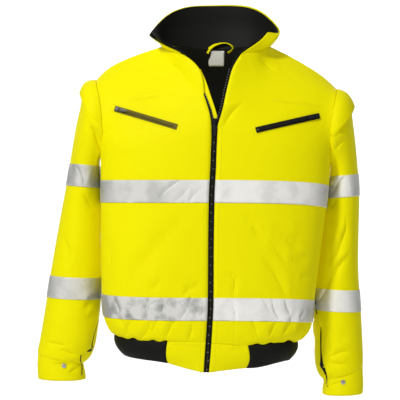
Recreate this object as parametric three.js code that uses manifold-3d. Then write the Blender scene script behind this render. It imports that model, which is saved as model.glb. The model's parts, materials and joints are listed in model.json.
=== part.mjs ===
import * as THREE from 'three';
import { mergeVertices } from 'three/addons/utils/BufferGeometryUtils.js';
import Module from 'manifold-3d';

// Hi-vis work jacket, worn shape with no wearer. Millimetres, Z up, the front faces -Y.
// Left and right are the left and right of somebody who looks at the front (-X and +X).
// The origin is the middle of the neck seam.

// Cloth and seams
const CLOTH = 2.5;
const LINING = 1.2;
const TAPE = 0.7;
const RIB = 3;
const SEAM = 0.36;
const LAID_ON = 0.5;

// Strips of a front, and of half the back, from the middle to the side, and those on the neck seam
const STRIPS = { front: 12, back: 14 };
const NECK = { front: 3, back: 5 };
const ARMHOLE_STEPS = 12;
const RING = 2 * ARMHOLE_STEPS;
const HEM_PANEL = 3;

// Fullness of the trunk section: the lower, the squarer. The chest above the underarm is rounder
const ACROSS = 0.95;
const DEEP = 0.6;
const DEEP_CHEST = 1.25;

const RELAX_TURNS = 10;
const RELAX_ABOVE = 3;

// Half of the gap between the fronts that the zip fills
const ZIP_HALF = 6.5;

// Trunk levels, hem seam to underarm: zip, side and depth positions, how far the side seams lie
// above the level, and how far the cloth puffs out between zip and side
const TRUNK = [
  { z: -660, zip: -16, left: -232, right: 190, front: -130, back: 110, leftUp: 10, rightUp: -8, puff: 0 },
  { z: -656, zip: -16, left: -239, right: 201, front: -131, back: 121, leftUp: 10, rightUp: -9, puff: 5 },
  { z: -644, zip: -15, left: -248, right: 213, front: -133, back: 130, leftUp: 9, rightUp: -10, puff: 8 },
  { z: -624, zip: -14, left: -256, right: 222, front: -135, back: 135, leftUp: 7, rightUp: -12, puff: 9 },
  { z: -596, zip: -12, left: -261, right: 226, front: -136, back: 136, leftUp: 5, rightUp: -14, puff: 7 },
  { z: -552, zip: -11, left: -262, right: 229, front: -137, back: 135, leftUp: 3, rightUp: -15, puff: 5 },
  { z: -440, zip: -11, left: -263, right: 244, front: -138, back: 131, leftUp: 2, rightUp: -15, puff: 2 },
  { z: -325, zip: -9, left: -264, right: 259, front: -138, back: 129, leftUp: 1, rightUp: -15, puff: 3 },
  { z: -280, zip: -6, left: -264, right: 263, front: -138, back: 129, leftUp: 0, rightUp: -15, puff: 3 },
  { z: -246, zip: -5, left: -264, right: 264, front: -137, back: 129, leftUp: 0, rightUp: -16, puff: 3 },
];

// Edges of the open fronts above the underarm, one row for each armhole step: closed zip, then the V
const OPEN_FRONT = [
  { z: -230, depth: -137, left: -11, right: 2 },
  { z: -213, depth: -136, left: -10, right: 3 },
  { z: -196, depth: -136, left: -10, right: 3 },
  { z: -179, depth: -135, left: -10, right: 4 },
  { z: -164, depth: -133, left: -12, right: 10 },
  { z: -146, depth: -130, left: -16, right: 15 },
  { z: -124, depth: -125, left: -23, right: 20 },
  { z: -101, depth: -119, left: -31, right: 25 },
  { z: -77, depth: -111, left: -37, right: 31 },
  { z: -53, depth: -103, left: -45, right: 37 },
  { z: -35, depth: -95, left: -58, right: 47 },
  { z: -18, depth: -87, left: -78, right: 59 },
];

// Middle of the back above the underarm
const UPPER_BACK = [
  { z: -223, depth: 130, middle: 1 },
  { z: -199, depth: 131, middle: 2 },
  { z: -175, depth: 131, middle: 2 },
  { z: -151, depth: 131, middle: 3 },
  { z: -127, depth: 129, middle: 4 },
  { z: -103, depth: 127, middle: 5 },
  { z: -80, depth: 124, middle: 5 },
  { z: -58, depth: 120, middle: 6 },
  { z: -37, depth: 115, middle: 7 },
  { z: -18, depth: 109, middle: 7 },
  { z: -2, depth: 102, middle: 8 },
  { z: 11, depth: 95, middle: 8 },
];

// Armholes: shoulder and underarm points, reach to front and back, how far the loop cuts in
const ARMHOLES = {
  left: { top: [-275, 0, -70], under: [-264, 0, -246], reach: 78, inset: 12 },
  right: { top: [281, 0, -91], under: [264, 0, -262], reach: 76, inset: -12 },
};

// Neck seam and shoulder seams
const NECK_FRONT = {
  left: [[-78, -87, -18], [-107, -62, -8], [-125, -5, 7]],
  right: [[59, -87, -18], [108, -60, -6], [129, -5, 7]],
};
const NECK_BACK = {
  left: [[8, 95, 11], [-70, 82, 13], [-115, 45, 15], [-125, -5, 7]],
  right: [[8, 95, 11], [84, 82, 13], [122, 45, 15], [129, -5, 7]],
};
const SHOULDER = {
  left: [[-125, -5, 7], [-194, 0, -16], [-250, 0, -44], [-275, 0, -70]],
  right: [[129, -5, 7], [178, 0, -17], [252, 0, -63], [281, 0, -91]],
};

// Sleeve rings below the armhole: outer and inner point, middle and half of the depth
const SLEEVES = {
  left: [
    { outX: -292, outZ: -73, inX: -267, inZ: -249, mid: 4, half: 84 },
    { outX: -302, outZ: -83, inX: -269, inZ: -253, mid: 9, half: 86 },
    { outX: -307, outZ: -101, inX: -269.5, inZ: -258, mid: 14, half: 87 },
    { outX: -313, outZ: -133, inX: -269.5, inZ: -264, mid: 21, half: 87 },
    { outX: -322, outZ: -166, inX: -269, inZ: -272, mid: 29, half: 86 },
    { outX: -331, outZ: -212, inX: -268, inZ: -285, mid: 38, half: 84 },
    { outX: -339, outZ: -258, inX: -266.5, inZ: -305, mid: 46, half: 82 },
    { outX: -347, outZ: -304, inX: -265.5, inZ: -333, mid: 52, half: 80 },
    { outX: -357, outZ: -352, inX: -265, inZ: -370, mid: 55, half: 78 },
    { outX: -377, outZ: -460, inX: -265, inZ: -466, mid: 56, half: 74 },
    { outX: -387, outZ: -520, inX: -265, inZ: -522, mid: 55, half: 71 },
    { outX: -395, outZ: -575, inX: -266, inZ: -576, mid: 53, half: 69 },
    { outX: -408, outZ: -660, inX: -275, inZ: -664, mid: 46, half: 65 },
    { outX: -413, outZ: -686, inX: -283, inZ: -700, mid: 41, half: 61 },
    { outX: -415, outZ: -698, inX: -295, inZ: -719, mid: 37, half: 56 },
    { outX: -414, outZ: -703, inX: -307, inZ: -726, mid: 35, half: 51 },
  ],
  right: [
    { outX: 296, outZ: -97, inX: 267, inZ: -265, mid: 4, half: 84 },
    { outX: 307, outZ: -109, inX: 268.5, inZ: -269, mid: 9, half: 85 },
    { outX: 314, outZ: -126, inX: 268.5, inZ: -274, mid: 14, half: 85 },
    { outX: 318, outZ: -151, inX: 268, inZ: -280, mid: 21, half: 85 },
    { outX: 323, outZ: -182, inX: 267, inZ: -289, mid: 29, half: 84 },
    { outX: 329, outZ: -226, inX: 266, inZ: -302, mid: 38, half: 83 },
    { outX: 334, outZ: -272, inX: 262.5, inZ: -323, mid: 46, half: 81 },
    { outX: 339, outZ: -320, inX: 258.5, inZ: -352, mid: 52, half: 80 },
    { outX: 339, outZ: -370, inX: 253, inZ: -391, mid: 55, half: 78 },
    { outX: 336, outZ: -480, inX: 239.5, inZ: -488, mid: 56, half: 75 },
    { outX: 338, outZ: -540, inX: 232.5, inZ: -543, mid: 55, half: 72 },
    { outX: 343, outZ: -596, inX: 229, inZ: -597, mid: 53, half: 70 },
    { outX: 347, outZ: -692, inX: 232, inZ: -700, mid: 46, half: 64 },
    { outX: 347, outZ: -718, inX: 234, inZ: -736, mid: 41, half: 60 },
    { outX: 346, outZ: -730, inX: 243, inZ: -757, mid: 37, half: 54 },
    { outX: 345, outZ: -735, inX: 253, inZ: -765, mid: 35, half: 49 },
  ],
};

// Cuff rings below the sleeve
const CUFFS = {
  left: [
    { outX: -415, outZ: -722, inX: -305, inZ: -738, mid: 33, half: 49 },
    { outX: -415, outZ: -742, inX: -301, inZ: -751, mid: 32, half: 49 },
    { outX: -413, outZ: -761, inX: -301, inZ: -763, mid: 31, half: 48 },
  ],
  right: [
    { outX: 346, outZ: -755, inX: 253, inZ: -774, mid: 33, half: 47 },
    { outX: 347, outZ: -775, inX: 250, inZ: -786, mid: 32, half: 47 },
    { outX: 345, outZ: -795, inX: 250, inZ: -798, mid: 31, half: 46 },
  ],
};

const CUFF_EDGE = 10;
const CUFF_UNDER = 3.4;

// Collar: upper edge from the left corner round the back to the right corner
const COLLAR_TOP = [
  [-151, -50, 27], [-147, -16, 41], [-134, 26, 65], [-111, 61, 93], [-67, 90, 115],
  [-4, 99, 119], [56, 93, 119], [98, 74, 109], [131, 44, 80], [149, 4, 50],
  [148, -36, 34], [119, -60, 34],
];
const COLLAR_ROWS = 5;
const COLLAR_BELLY = 9;

// Reflective tape, 50 mm wide: upper edge at the middle, and at each side
const TAPE_WIDTH = 50;
const TAPE_STEPS = { trunk: 3, sleeve: 4 };
const TRUNK_TAPES = [
  { name: 'chest', middle: -302, left: -301, right: -317 },
  { name: 'hem', middle: -562, left: -558, right: -577 },
];
const SLEEVE_TAPES = {
  left: [{ name: 'upper', outer: -262, inner: -268 }, { name: 'lower', outer: -522, inner: -527 }],
  right: [{ name: 'upper', outer: -286, inner: -292 }, { name: 'lower', outer: -556, inner: -551 }],
};

// Rib hem and the two plain hem panels beside the zip
const RIB_DROP = { left: 45, most: 60, right: 44, mostAt: 90 };
const RIB_STEPS = [
  { down: 0, tuck: 0 },
  { down: 0.3, tuck: -2.5 },
  { down: 0.68, tuck: 4 },
  { down: 1, tuck: 18 },
];
const HEM_DROP = 68;
const HEM_TUCK = 0.2;
const HEM_SLANT = -5;

// Armhole cover flap over the sleeve head
const COVER_SPAN = 7;
const COVER_ROWS = 3;
const COVER_REACH = { left: 2.8, right: 3.1 };
const COVER_LIFT = 6;
const COVER_ENDS = 0.25;
const COVER_GAP = { left: 0.9, right: 1.3 };
const COVER_CLOTH = 1.8;

// Zip: tape hidden under the front, slider and its pull
const ZIP_HIDDEN = 9;
const ZIP_TAPE = 1;
const ZIP_CLEAR = 0.8;
const ZIP_SAG = 1.7;
const ZIP_SHOWN = {
  left: [5, 4.5, 3.5, 1.5, 0, 1, 3.5, 5],
  right: [5, 5, 5, 5, 5, 5, 5, 5],
};
const ZIP_CLOSED = 4;
const MAIN_SLIDER = {
  x: -3, y: -132.6, z: -173, wide: 10.5, tall: 14, deep: 5,
  arch: { low: -6, high: 1.5, far: 9.6, bar: 1.3, wide: 3 },
};
const MAIN_PULL = {
  wide: 8.6, long: 28, thick: 1.5, window: { half: 2.7, low: 6.4 }, pivot: { up: -3.4, out: 7 },
};

// Storm flap behind the zip: how far it shows past the left front's edge, armhole step by step
const FLAP = 1.6;
const FLAP_HIDDEN = 8;
const FLAP_SHOWN = [24, 24, 24, 20, 15, 14, 13, 13, 12, 7];

// Collar lining, thicker than the back lining; it stays below the outer collar's edge on the right
const COLLAR_LINING = 2;
const LINING_RIM = 4;
const LINING_CLEAR = 4;
const LINING_START = 4;
const LINING_ENDS = 2;

// Chest pocket zips, ends given as (x, z) on the front
const POCKETS = {
  left: { outer: [-226, -141], inner: [-86, -185] },
  right: { outer: [233, -157], inner: [88.5, -192] },
};
const POCKET_WIDE = 12.5;
const POCKET_THICK = 1.6;
const POCKET_STEPS = 12;
const POCKET_SLIDER = {
  from: 8, wide: 8, tall: 10, deep: 2.6,
  arch: { low: -4.6, high: 1, far: 6.2, bar: 1, wide: 2.4 },
};
const POCKET_PULL = {
  wide: 7, long: 20, thick: 1.2, window: { half: 2.1, low: 5 }, pivot: { up: -2.6, out: 4 },
};

// Neck label, hanger loop and cuff snaps
const LABEL = { left: -21, right: 23, bottom: -25, top: 8, thick: 0.6, clear: 0.8 };
const LOOP_PATH = [
  [-15, 81, 5], [-12, 81, 15], [0, 81, 24], [17, 81, 28],
  [35, 80, 25], [46, 79, 16], [43, 79, 8], [34, 80, 3],
];
const LOOP_STEPS = 14;
const LOOP_WIDE = 6;
const LOOP_THICK = 1.4;
const SNAPS = { left: { x: -348, z: -727 }, right: { x: 294, z: -765 } };
const SNAP_RADIUS = 5.5;
const SNAP_HIGH = 1.8;

const V = (x, y, z) => new THREE.Vector3(x, y, z);
const mix = THREE.MathUtils.lerp;
const smooth = THREE.MathUtils.smoothstep;
const span = (count) => Array.from({ length: count + 1 }, (_, n) => n);
const curve = (points) => new THREE.CatmullRomCurve3(points.map((p) => V(...p)), false, 'centripetal');

// Surfaces

// A panel: rows of points and the outward direction at each. hub(row) is a point behind the cloth.
function panel(rows, hub, wraps = false) {
  const last = rows.length - 1;
  const width = rows[0].length;
  let facing = 0;
  const out = rows.map((row, i) => row.map((p, j) => {
    const up = rows[Math.min(i + 1, last)][j].clone().sub(rows[Math.max(i - 1, 0)][j]);
    const next = wraps ? (j + 1) % width : Math.min(j + 1, width - 1);
    const before = wraps ? (j + width - 1) % width : Math.max(j - 1, 0);
    const along = row[next].clone().sub(row[before]);
    const normal = up.cross(along).normalize();
    facing += normal.dot(p.clone().sub(hub(i)));
    return normal;
  }));
  if (facing < 0) out.flat().forEach((normal) => normal.negate());
  return { rows, out, wraps };
}

const borders = (p, i, j) => {
  const edgeRow = i === 0 || i === p.rows.length - 1;
  const edgeStrip = !p.wraps && (j === 0 || j === p.rows[0].length - 1);
  return edgeRow || edgeStrip;
};

// Panels that share seam points turn their walls to one shared direction there
function stitch(panels) {
  const shared = new Map();
  for (const p of panels) {
    p.rows.forEach((row, i) => row.forEach((point, j) => {
      if (!borders(p, i, j)) return;
      const key = point.toArray().map((v) => v.toFixed(2)).join(' ');
      if (!shared.has(key)) shared.set(key, []);
      shared.get(key).push({ p, i, j, normal: p.out[i][j].clone() });
    }));
  }
  for (const group of shared.values()) {
    for (const { p, i, j, normal } of group) {
      const near = group.filter((g) => g.normal.dot(normal) > -0.2);
      const sum = near.reduce((total, g) => total.add(g.normal), V(0, 0, 0)).normalize();
      const fit = near.reduce((total, g) => total + g.normal.dot(sum), 0) / near.length;
      p.out[i][j] = sum.divideScalar(Math.max(fit, 0.7));
    }
  }
}

// Draws the seam edges of a panel back by half a seam gap
function trim(p, sides, amount = SEAM / 2) {
  const last = p.rows.length - 1;
  const end = p.rows[0].length - 1;
  const back = (point, inner) => {
    const step = inner.clone().sub(point);
    return point.clone().addScaledVector(step.normalize(), amount);
  };
  if (sides.includes('bottom')) p.rows[0] = p.rows[0].map((q, j) => back(q, p.rows[1][j]));
  if (sides.includes('top')) p.rows[last] = p.rows[last].map((q, j) => back(q, p.rows[last - 1][j]));
  for (const row of p.rows) {
    if (sides.includes('start')) row[0] = back(row[0], row[1]);
    if (sides.includes('end')) row[end] = back(row[end], row[end - 1]);
  }
}

// A closed wall between two distances from the panel's points, each a number or a function (i, j)
function wall(p, outer, inner) {
  const reach = (v) => (typeof v === 'function' ? v : () => v);
  const height = p.rows.length;
  const width = p.rows[0].length;
  const points = [];
  for (const far of [reach(outer), reach(inner)]) {
    p.rows.forEach((row, i) => row.forEach((q, j) => {
      points.push(...q.clone().addScaledVector(p.out[i][j], far(i, j)).toArray());
    }));
  }
  const layer = height * width;
  const at = (i, j, side) => side * layer + i * width + (j % width);
  const index = [];
  const quad = (a, b, c, d) => index.push(a, b, c, a, c, d);
  const strips = p.wraps ? width : width - 1;
  for (let i = 0; i < height - 1; i += 1) {
    for (let j = 0; j < strips; j += 1) {
      const next = (j + 1) % width;
      const rising = p.rows[i][j].distanceTo(p.rows[i + 1][next]);
      const falling = p.rows[i][next].distanceTo(p.rows[i + 1][j]);
      const ring = [[i, j], [i, j + 1], [i + 1, j + 1], [i + 1, j]];
      if (falling < rising) ring.push(ring.shift());
      quad(...ring.map(([m, n]) => at(m, n, 0)));
      quad(...[0, 3, 2, 1].map((k) => at(...ring[k], 1)));
    }
  }
  for (let j = 0; j < strips; j += 1) {
    quad(at(0, j, 1), at(0, j + 1, 1), at(0, j + 1, 0), at(0, j, 0));
    quad(at(height - 1, j, 0), at(height - 1, j + 1, 0), at(height - 1, j + 1, 1), at(height - 1, j, 1));
  }
  if (!p.wraps) {
    for (let i = 0; i < height - 1; i += 1) {
      quad(at(i, 0, 0), at(i + 1, 0, 0), at(i + 1, 0, 1), at(i, 0, 1));
      quad(at(i, width - 1, 1), at(i + 1, width - 1, 1), at(i + 1, width - 1, 0), at(i, width - 1, 0));
    }
  }
  return solid(points, index);
}

// Geometry from points and triangles, turned so that its faces look out
function solid(points, index) {
  let volume = 0;
  const corner = (n) => V(points[3 * n], points[3 * n + 1], points[3 * n + 2]);
  for (let n = 0; n < index.length; n += 3) {
    volume += corner(index[n]).dot(corner(index[n + 1]).cross(corner(index[n + 2])));
  }
  const turned = volume < 0 ? index.slice().reverse() : index;
  const geometry = new THREE.BufferGeometry();
  geometry.setAttribute('position', new THREE.Float32BufferAttribute(points, 3));
  geometry.setIndex(turned);
  geometry.computeVertexNormals();
  return geometry;
}

// The point and outward direction of a panel at fractional row and strip
function onPanel(p, i, j) {
  const width = p.rows[0].length;
  const i0 = Math.min(Math.floor(i), p.rows.length - 2);
  const j0 = p.wraps ? Math.floor(j) % width : Math.min(Math.floor(j), width - 2);
  const j1 = p.wraps ? (j0 + 1) % width : j0 + 1;
  const between = (field) => {
    const low = field[i0][j0].clone().lerp(field[i0][j1], j - Math.floor(j));
    const high = field[i0 + 1][j0].clone().lerp(field[i0 + 1][j1], j - Math.floor(j));
    return low.lerp(high, i - i0);
  };
  const exact = !p.wraps && j >= width - 1;
  if (exact) {
    const pick = (field) => field[i0][width - 1].clone().lerp(field[i0 + 1][width - 1], i - i0);
    return { point: pick(p.rows), normal: pick(p.out) };
  }
  return { point: between(p.rows), normal: between(p.out) };
}

// The fractional row at which one strip of a panel passes a height
function rowAt(p, j, z) {
  const last = p.rows.length - 1;
  for (let i = 0; i < last; i += 1) {
    const a = p.rows[i][j].z;
    const b = p.rows[i + 1][j].z;
    if ((a - z) * (b - z) <= 0 && a !== b) return i + (z - a) / (b - a);
  }
  throw new Error(`no row at ${z}`);
}

// The point and outward direction of a front at a place seen from the front
function seenAt(p, x, z) {
  for (let i = 0; i < p.rows.length - 1; i += 1) {
    for (let j = 0; j < p.rows[0].length - 1; j += 1) {
      const corners = [[i, j], [i, j + 1], [i + 1, j + 1], [i + 1, j]];
      for (const [a, b, c] of [[0, 1, 2], [0, 2, 3]]) {
        const ids = [corners[a], corners[b], corners[c]];
        const flat = ids.map(([m, n]) => V(p.rows[m][n].x, p.rows[m][n].z, 0));
        const share = THREE.Triangle.getBarycoord(V(x, z, 0), ...flat, V(0, 0, 0));
        if (!share || Math.min(share.x, share.y, share.z) < -1e-6) continue;
        const weigh = (field) => ids.reduce(
          (sum, [m, n], k) => sum.addScaledVector(field[m][n], share.getComponent(k)),
          V(0, 0, 0),
        );
        return { point: weigh(p.rows), normal: weigh(p.out).normalize() };
      }
    }
  }
  throw new Error(`nothing of the front at ${x}, ${z}`);
}

// Trunk

function armhole(side, step, face) {
  const { top, under, reach, inset } = ARMHOLES[side];
  const angle = Math.PI * (1 - step / ARMHOLE_STEPS);
  const up = (1 + Math.cos(angle)) / 2;
  const bow = Math.sin(angle);
  return V(
    mix(under[0], top[0], up) + inset * bow * bow,
    (face === 'front' ? -1 : 1) * reach * bow,
    mix(under[2], top[2], up),
  );
}

// One row from the middle to the side, full in front of or behind the straight line
function halfRow(middle, side, puff, strips, fullness) {
  return span(strips).map((j) => {
    const share = j / strips;
    const angle = (Math.PI / 2) * share;
    const across = Math.sin(angle) ** ACROSS;
    const deep = Math.max(Math.cos(angle), 0) ** fullness;
    return V(
      mix(middle.x, side.x, across),
      mix(side.y, middle.y, deep) + puff * Math.sin(Math.PI * share),
      mix(middle.z, side.z, share * share),
    );
  });
}

// Evens out the cloth between its seams above the underarm
function relax(rows) {
  for (let turn = 0; turn < RELAX_TURNS; turn += 1) {
    const before = rows.map((row) => row.map((p) => p.clone()));
    for (let i = TRUNK.length + RELAX_ABOVE; i < rows.length - 1; i += 1) {
      for (let j = 1; j < rows[0].length - 1; j += 1) {
        const sum = before[i - 1][j].clone().add(before[i + 1][j]).add(before[i][j - 1]).add(before[i][j + 1]);
        rows[i][j] = before[i][j].clone().lerp(sum.divideScalar(4), 0.5);
      }
    }
  }
  return rows;
}

function halfTrunk(side, face) {
  const sign = face === 'front' ? -1 : 1;
  const strips = STRIPS[face];
  const rows = TRUNK.map((level) => {
    const toSide = side === 'left' ? -1 : 1;
    const lift = (level.leftUp + level.rightUp) / 2;
    const middle = face === 'front'
      ? V(level.zip + toSide * ZIP_HALF, level.front, level.z)
      : V((level.left + level.right) / 2, level.back, level.z + lift);
    const seam = V(level[side], 0, level.z + level[`${side}Up`]);
    return halfRow(middle, seam, sign * level.puff, strips, DEEP);
  });
  const upper = span(ARMHOLE_STEPS).slice(1).map((step) => {
    const row = face === 'front' ? OPEN_FRONT[step - 1] : UPPER_BACK[step - 1];
    const x = face === 'front' ? row[side] : row.middle;
    const last = TRUNK[TRUNK.length - 1];
    const puff = sign * last.puff * (1 - step / ARMHOLE_STEPS);
    const fullness = mix(DEEP, DEEP_CHEST, smooth(step, 0, 5));
    return halfRow(V(x, row.depth, row.z), armhole(side, step, face), puff, strips, fullness);
  });
  const seam = face === 'front' ? NECK_FRONT[side] : NECK_BACK[side];
  const neck = curve(seam).getSpacedPoints(NECK[face]);
  const shoulder = curve(SHOULDER[side]).getSpacedPoints(strips - NECK[face]);
  const top = [...neck, ...shoulder.slice(1)];
  const plain = upper[ARMHOLE_STEPS - 1].map((p) => p.clone());
  upper.forEach((row, k) => {
    const weight = Math.max((k - 1) / (ARMHOLE_STEPS - 2), 0) ** 1.7;
    row.forEach((p, j) => p.addScaledVector(top[j].clone().sub(plain[j]), weight));
  });
  return [...rows, ...upper];
}

const trunkHub = () => V(0, 0, -350);
const front = {
  left: panel(relax(halfTrunk('left', 'front')), trunkHub),
  right: panel(relax(halfTrunk('right', 'front')), trunkHub),
};
const backRows = {
  left: halfTrunk('left', 'back'),
  right: halfTrunk('right', 'back'),
};
const wholeBack = backRows.left.map((row, i) => [...row.slice().reverse(), ...backRows.right[i].slice(1)]);
const back = panel(relax(wholeBack), trunkHub);

// Sleeves and cuffs

function ring(row, bow) {
  return span(RING - 1).map((c) => {
    const angle = (2 * Math.PI * c) / RING;
    const lean = Math.cos(angle);
    return V(
      mix(row.inX, row.outX, (1 + lean) / 2) + bow * Math.sin(angle) ** 2,
      row.mid - row.half * Math.sin(angle),
      mix(row.inZ, row.outZ, (1 + lean) / 2),
    );
  });
}

function sleeveRows(side) {
  const loop = span(RING - 1).map((c) => (c <= ARMHOLE_STEPS
    ? armhole(side, ARMHOLE_STEPS - c, 'front')
    : armhole(side, c - ARMHOLE_STEPS, 'back')));
  const rings = SLEEVES[side].map((row, i) => {
    const fade = 1 - smooth(i + 1, 0, 5);
    return ring(row, ARMHOLES[side].inset * fade);
  });
  return [loop, ...rings];
}

// The cuff's way round from its front edge: outer side, back, inner side, then under that edge
const CUFF_WALK = [
  ...span(CUFF_EDGE).reverse().map((at) => ({ at, under: 0 })),
  ...span(ARMHOLE_STEPS - 1).map((n) => ({ at: RING - 1 - n, under: 0 })),
  { at: CUFF_EDGE + 1, under: CUFF_UNDER / 2 },
  { at: CUFF_EDGE, under: CUFF_UNDER },
  { at: CUFF_EDGE - 1, under: CUFF_UNDER },
  { at: CUFF_EDGE - 2, under: CUFF_UNDER },
];
const ringHub = (rows) => (i) => rows[i]
  .reduce((sum, p) => sum.add(p), V(0, 0, 0))
  .divideScalar(rows[i].length);
const sleeve = {};
const cuff = {};
for (const side of ['left', 'right']) {
  const rows = sleeveRows(side);
  sleeve[side] = panel(rows, ringHub(rows), true);
  const round = [rows[rows.length - 1], ...CUFFS[side].map((row) => ring(row, 0))];
  const hub = ringHub(round);
  const cuffRows = round.map((row, i) => CUFF_WALK.map(({ at, under }) => {
    const inward = hub(i).sub(row[at]).setZ(0).normalize();
    return row[at].clone().addScaledVector(inward, under);
  }));
  cuff[side] = panel(cuffRows, hub);
}

// Collar

const TOP_ROW = TRUNK.length + ARMHOLE_STEPS - 1;
const neckSeam = [
  ...front.left.rows[TOP_ROW].slice(0, NECK.front + 1),
  ...back.rows[TOP_ROW].slice(STRIPS.back - NECK.back + 1, STRIPS.back + NECK.back),
  ...front.right.rows[TOP_ROW].slice(0, NECK.front + 1).reverse(),
];
const collarEdge = curve(COLLAR_TOP).getSpacedPoints(neckSeam.length - 1);
const collarHub = (i) => V(0, 0, mix(0, 90, i / COLLAR_ROWS));
const collar = panel(span(COLLAR_ROWS).map((i) => neckSeam.map((low, j) => {
  const up = i / COLLAR_ROWS;
  const point = low.clone().lerp(collarEdge[j], up);
  const away = V(point.x, point.y, 0).normalize();
  return point.addScaledVector(away, COLLAR_BELLY * Math.sin(Math.PI * up));
})), collarHub);

// Hem: ribbed band and the two plain panels beside the zip

function dropped(row, drop, tuck, slant) {
  return row.map((p, j) => {
    const inward = V(-p.x - 20, -p.y, 0).normalize();
    return V(p.x + slant(j), p.y, p.z - drop(j)).addScaledVector(inward, tuck(j));
  });
}
const ribTop = [
  ...front.left.rows[0].slice(HEM_PANEL),
  ...back.rows[0].slice(1, -1),
  ...front.right.rows[0].slice(HEM_PANEL).reverse(),
];
const ribDrop = ({ x }) => {
  const risen = mix(RIB_DROP.left, RIB_DROP.most, smooth(x, TRUNK[0].left, RIB_DROP.mostAt));
  return mix(risen, RIB_DROP.right, smooth(x, RIB_DROP.mostAt, TRUNK[0].right));
};
const rib = panel(
  RIB_STEPS.map(({ down, tuck }) => (
    dropped(ribTop, (j) => ribDrop(ribTop[j]) * down, () => tuck, () => 0))).reverse(),
  () => V(0, 0, -680),
);
const hemPanel = {};
for (const side of ['left', 'right']) {
  const top = front[side].rows[0].slice(0, HEM_PANEL + 1);
  const rows = RIB_STEPS.map(({ down, tuck }) => dropped(
    top,
    (j) => down * mix(HEM_DROP, ribDrop(top[j]), j / HEM_PANEL),
    (j) => tuck * mix(HEM_TUCK, 1, j / HEM_PANEL),
    (j) => down * mix(HEM_SLANT, 0, j / HEM_PANEL),
  ));
  hemPanel[side] = panel(rows.reverse(), () => V(0, 0, -680));
}

stitch([
  front.left, front.right, back, sleeve.left, sleeve.right, cuff.left, cuff.right,
  collar, rib, hemPanel.left, hemPanel.right,
]);
for (const side of ['left', 'right']) {
  trim(front[side], ['bottom', 'top', 'end']);
  trim(sleeve[side], ['bottom', 'top']);
  trim(cuff[side], ['bottom']);
  trim(hemPanel[side], ['top', 'end']);
}
trim(back, ['bottom', 'top', 'start', 'end']);
trim(collar, ['bottom'], 3 * SEAM);
trim(rib, ['top'], SEAM);
trim(rib, ['start', 'end']);

// Layers behind the cloth: collar lining and back lining

const collarLining = {
  rows: collar.rows.map((row, i) => row.map((p, j) => {
    if (i < COLLAR_ROWS) return p.clone();
    const rim = mix(0.5, LINING_RIM, smooth(j, 0, row.length - 1));
    return p.clone().lerp(collar.rows[i - 1][j], rim / p.distanceTo(collar.rows[i - 1][j]));
  })),
  out: collar.out,
  wraps: false,
};
const liningRows = span(TOP_ROW).filter((i) => (
  i >= LINING_START && (i >= TRUNK.length || (i - LINING_START) % 2 === 0)));
const everySecond = (row) => row.filter((_, j) => j % 2 === 1 || j === 0 || j === row.length - 1);
const lining = {
  rows: liningRows.map((i) => everySecond(back.rows[i])),
  out: liningRows.map((i) => everySecond(back.out[i])),
  wraps: false,
};
const ZIP_DEPTH = CLOTH + ZIP_CLEAR;
const UNDER_ZIP = ZIP_DEPTH + ZIP_TAPE + LAID_ON;
const UNDER_SAG = UNDER_ZIP + ZIP_SAG;
const LINING_FRONT = CLOTH + LINING_CLEAR;
const LINING_BACK = LINING_FRONT + LINING;

// Reflective tape round trunk and sleeves, from the points of the panel it is sewn on

function band(base, top, strips, steps, wraps = false) {
  const rows = span(steps).map((n) => strips.map((j) => (
    onPanel(base, rowAt(base, j, top(j) - TAPE_WIDTH * (1 - n / steps)), j))));
  return {
    rows: rows.map((row) => row.map((q) => q.point)),
    out: rows.map((row) => row.map((q) => q.normal)),
    wraps,
  };
}
const laid = (p) => wall(p, LAID_ON + TAPE, LAID_ON);

// Armhole covers: flaps sewn in at the armhole that stand off the sleeve head at their free edge

function cover(side) {
  const strips = span(2 * COVER_SPAN).map((n) => n - COVER_SPAN);
  const rows = span(COVER_ROWS).map((i) => strips.map((c) => {
    const taper = Math.cos((Math.PI / 2) * (c / COVER_SPAN) ** 2);
    const reach = (COVER_REACH[side] * i * mix(COVER_ENDS, 1, taper)) / COVER_ROWS;
    const spot = onPanel(sleeve[side], reach, (c + RING) % RING);
    const lift = COVER_GAP[side] + COVER_LIFT * taper * Math.sin((Math.PI / 2) * (i / COVER_ROWS));
    return spot.point.addScaledVector(spot.normal, lift);
  }));
  return panel(rows, () => ringHub(sleeve[side].rows)(2));
}

// Zip tapes: a strip along each front edge, half of it behind the cloth. Storm flap behind the left one

const CLOSED_ROWS = RIB_STEPS.length + TRUNK.length - 1 + ZIP_CLOSED;
function frontEdge(side) {
  const fromCollar = side === 'left' ? 0 : collar.rows[0].length - 1;
  const inCollar = side === 'left' ? 1 : fromCollar - 1;
  const pick = (p, i, j, inner) => ({
    edge: p.rows[i][j], next: p.rows[i][inner], out: p.out[i][j], nextOut: p.out[i][inner],
  });
  const steps = [
    ...hemPanel[side].rows.map((_, i) => pick(hemPanel[side], i, 0, 1)),
    ...front[side].rows.slice(1).map((_, i) => pick(front[side], i + 1, 0, 1)),
    ...collar.rows.slice(1).map((_, i) => pick(collar, i + 1, fromCollar, inCollar)),
  ];
  return steps.map(({ edge, next, out, nextOut }, i) => {
    if (i < CLOSED_ROWS) {
      const flat = V(0, -1, 0);
      return { edge, across: V(side === 'left' ? 1 : -1, 0, 0), out: flat, inner: flat, sag: ZIP_SAG };
    }
    const after = steps[Math.min(i + 1, steps.length - 1)].edge;
    const along = after.clone().sub(steps[i - 1].edge).normalize();
    const across = edge.clone().sub(next).normalize();
    const slant = Math.sqrt(1 - across.dot(along) ** 2);
    const inner = out.clone().lerp(nextOut, ZIP_HIDDEN / edge.distanceTo(next));
    return { edge, across: across.divideScalar(slant), out, inner, sag: 0 };
  });
}

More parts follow.
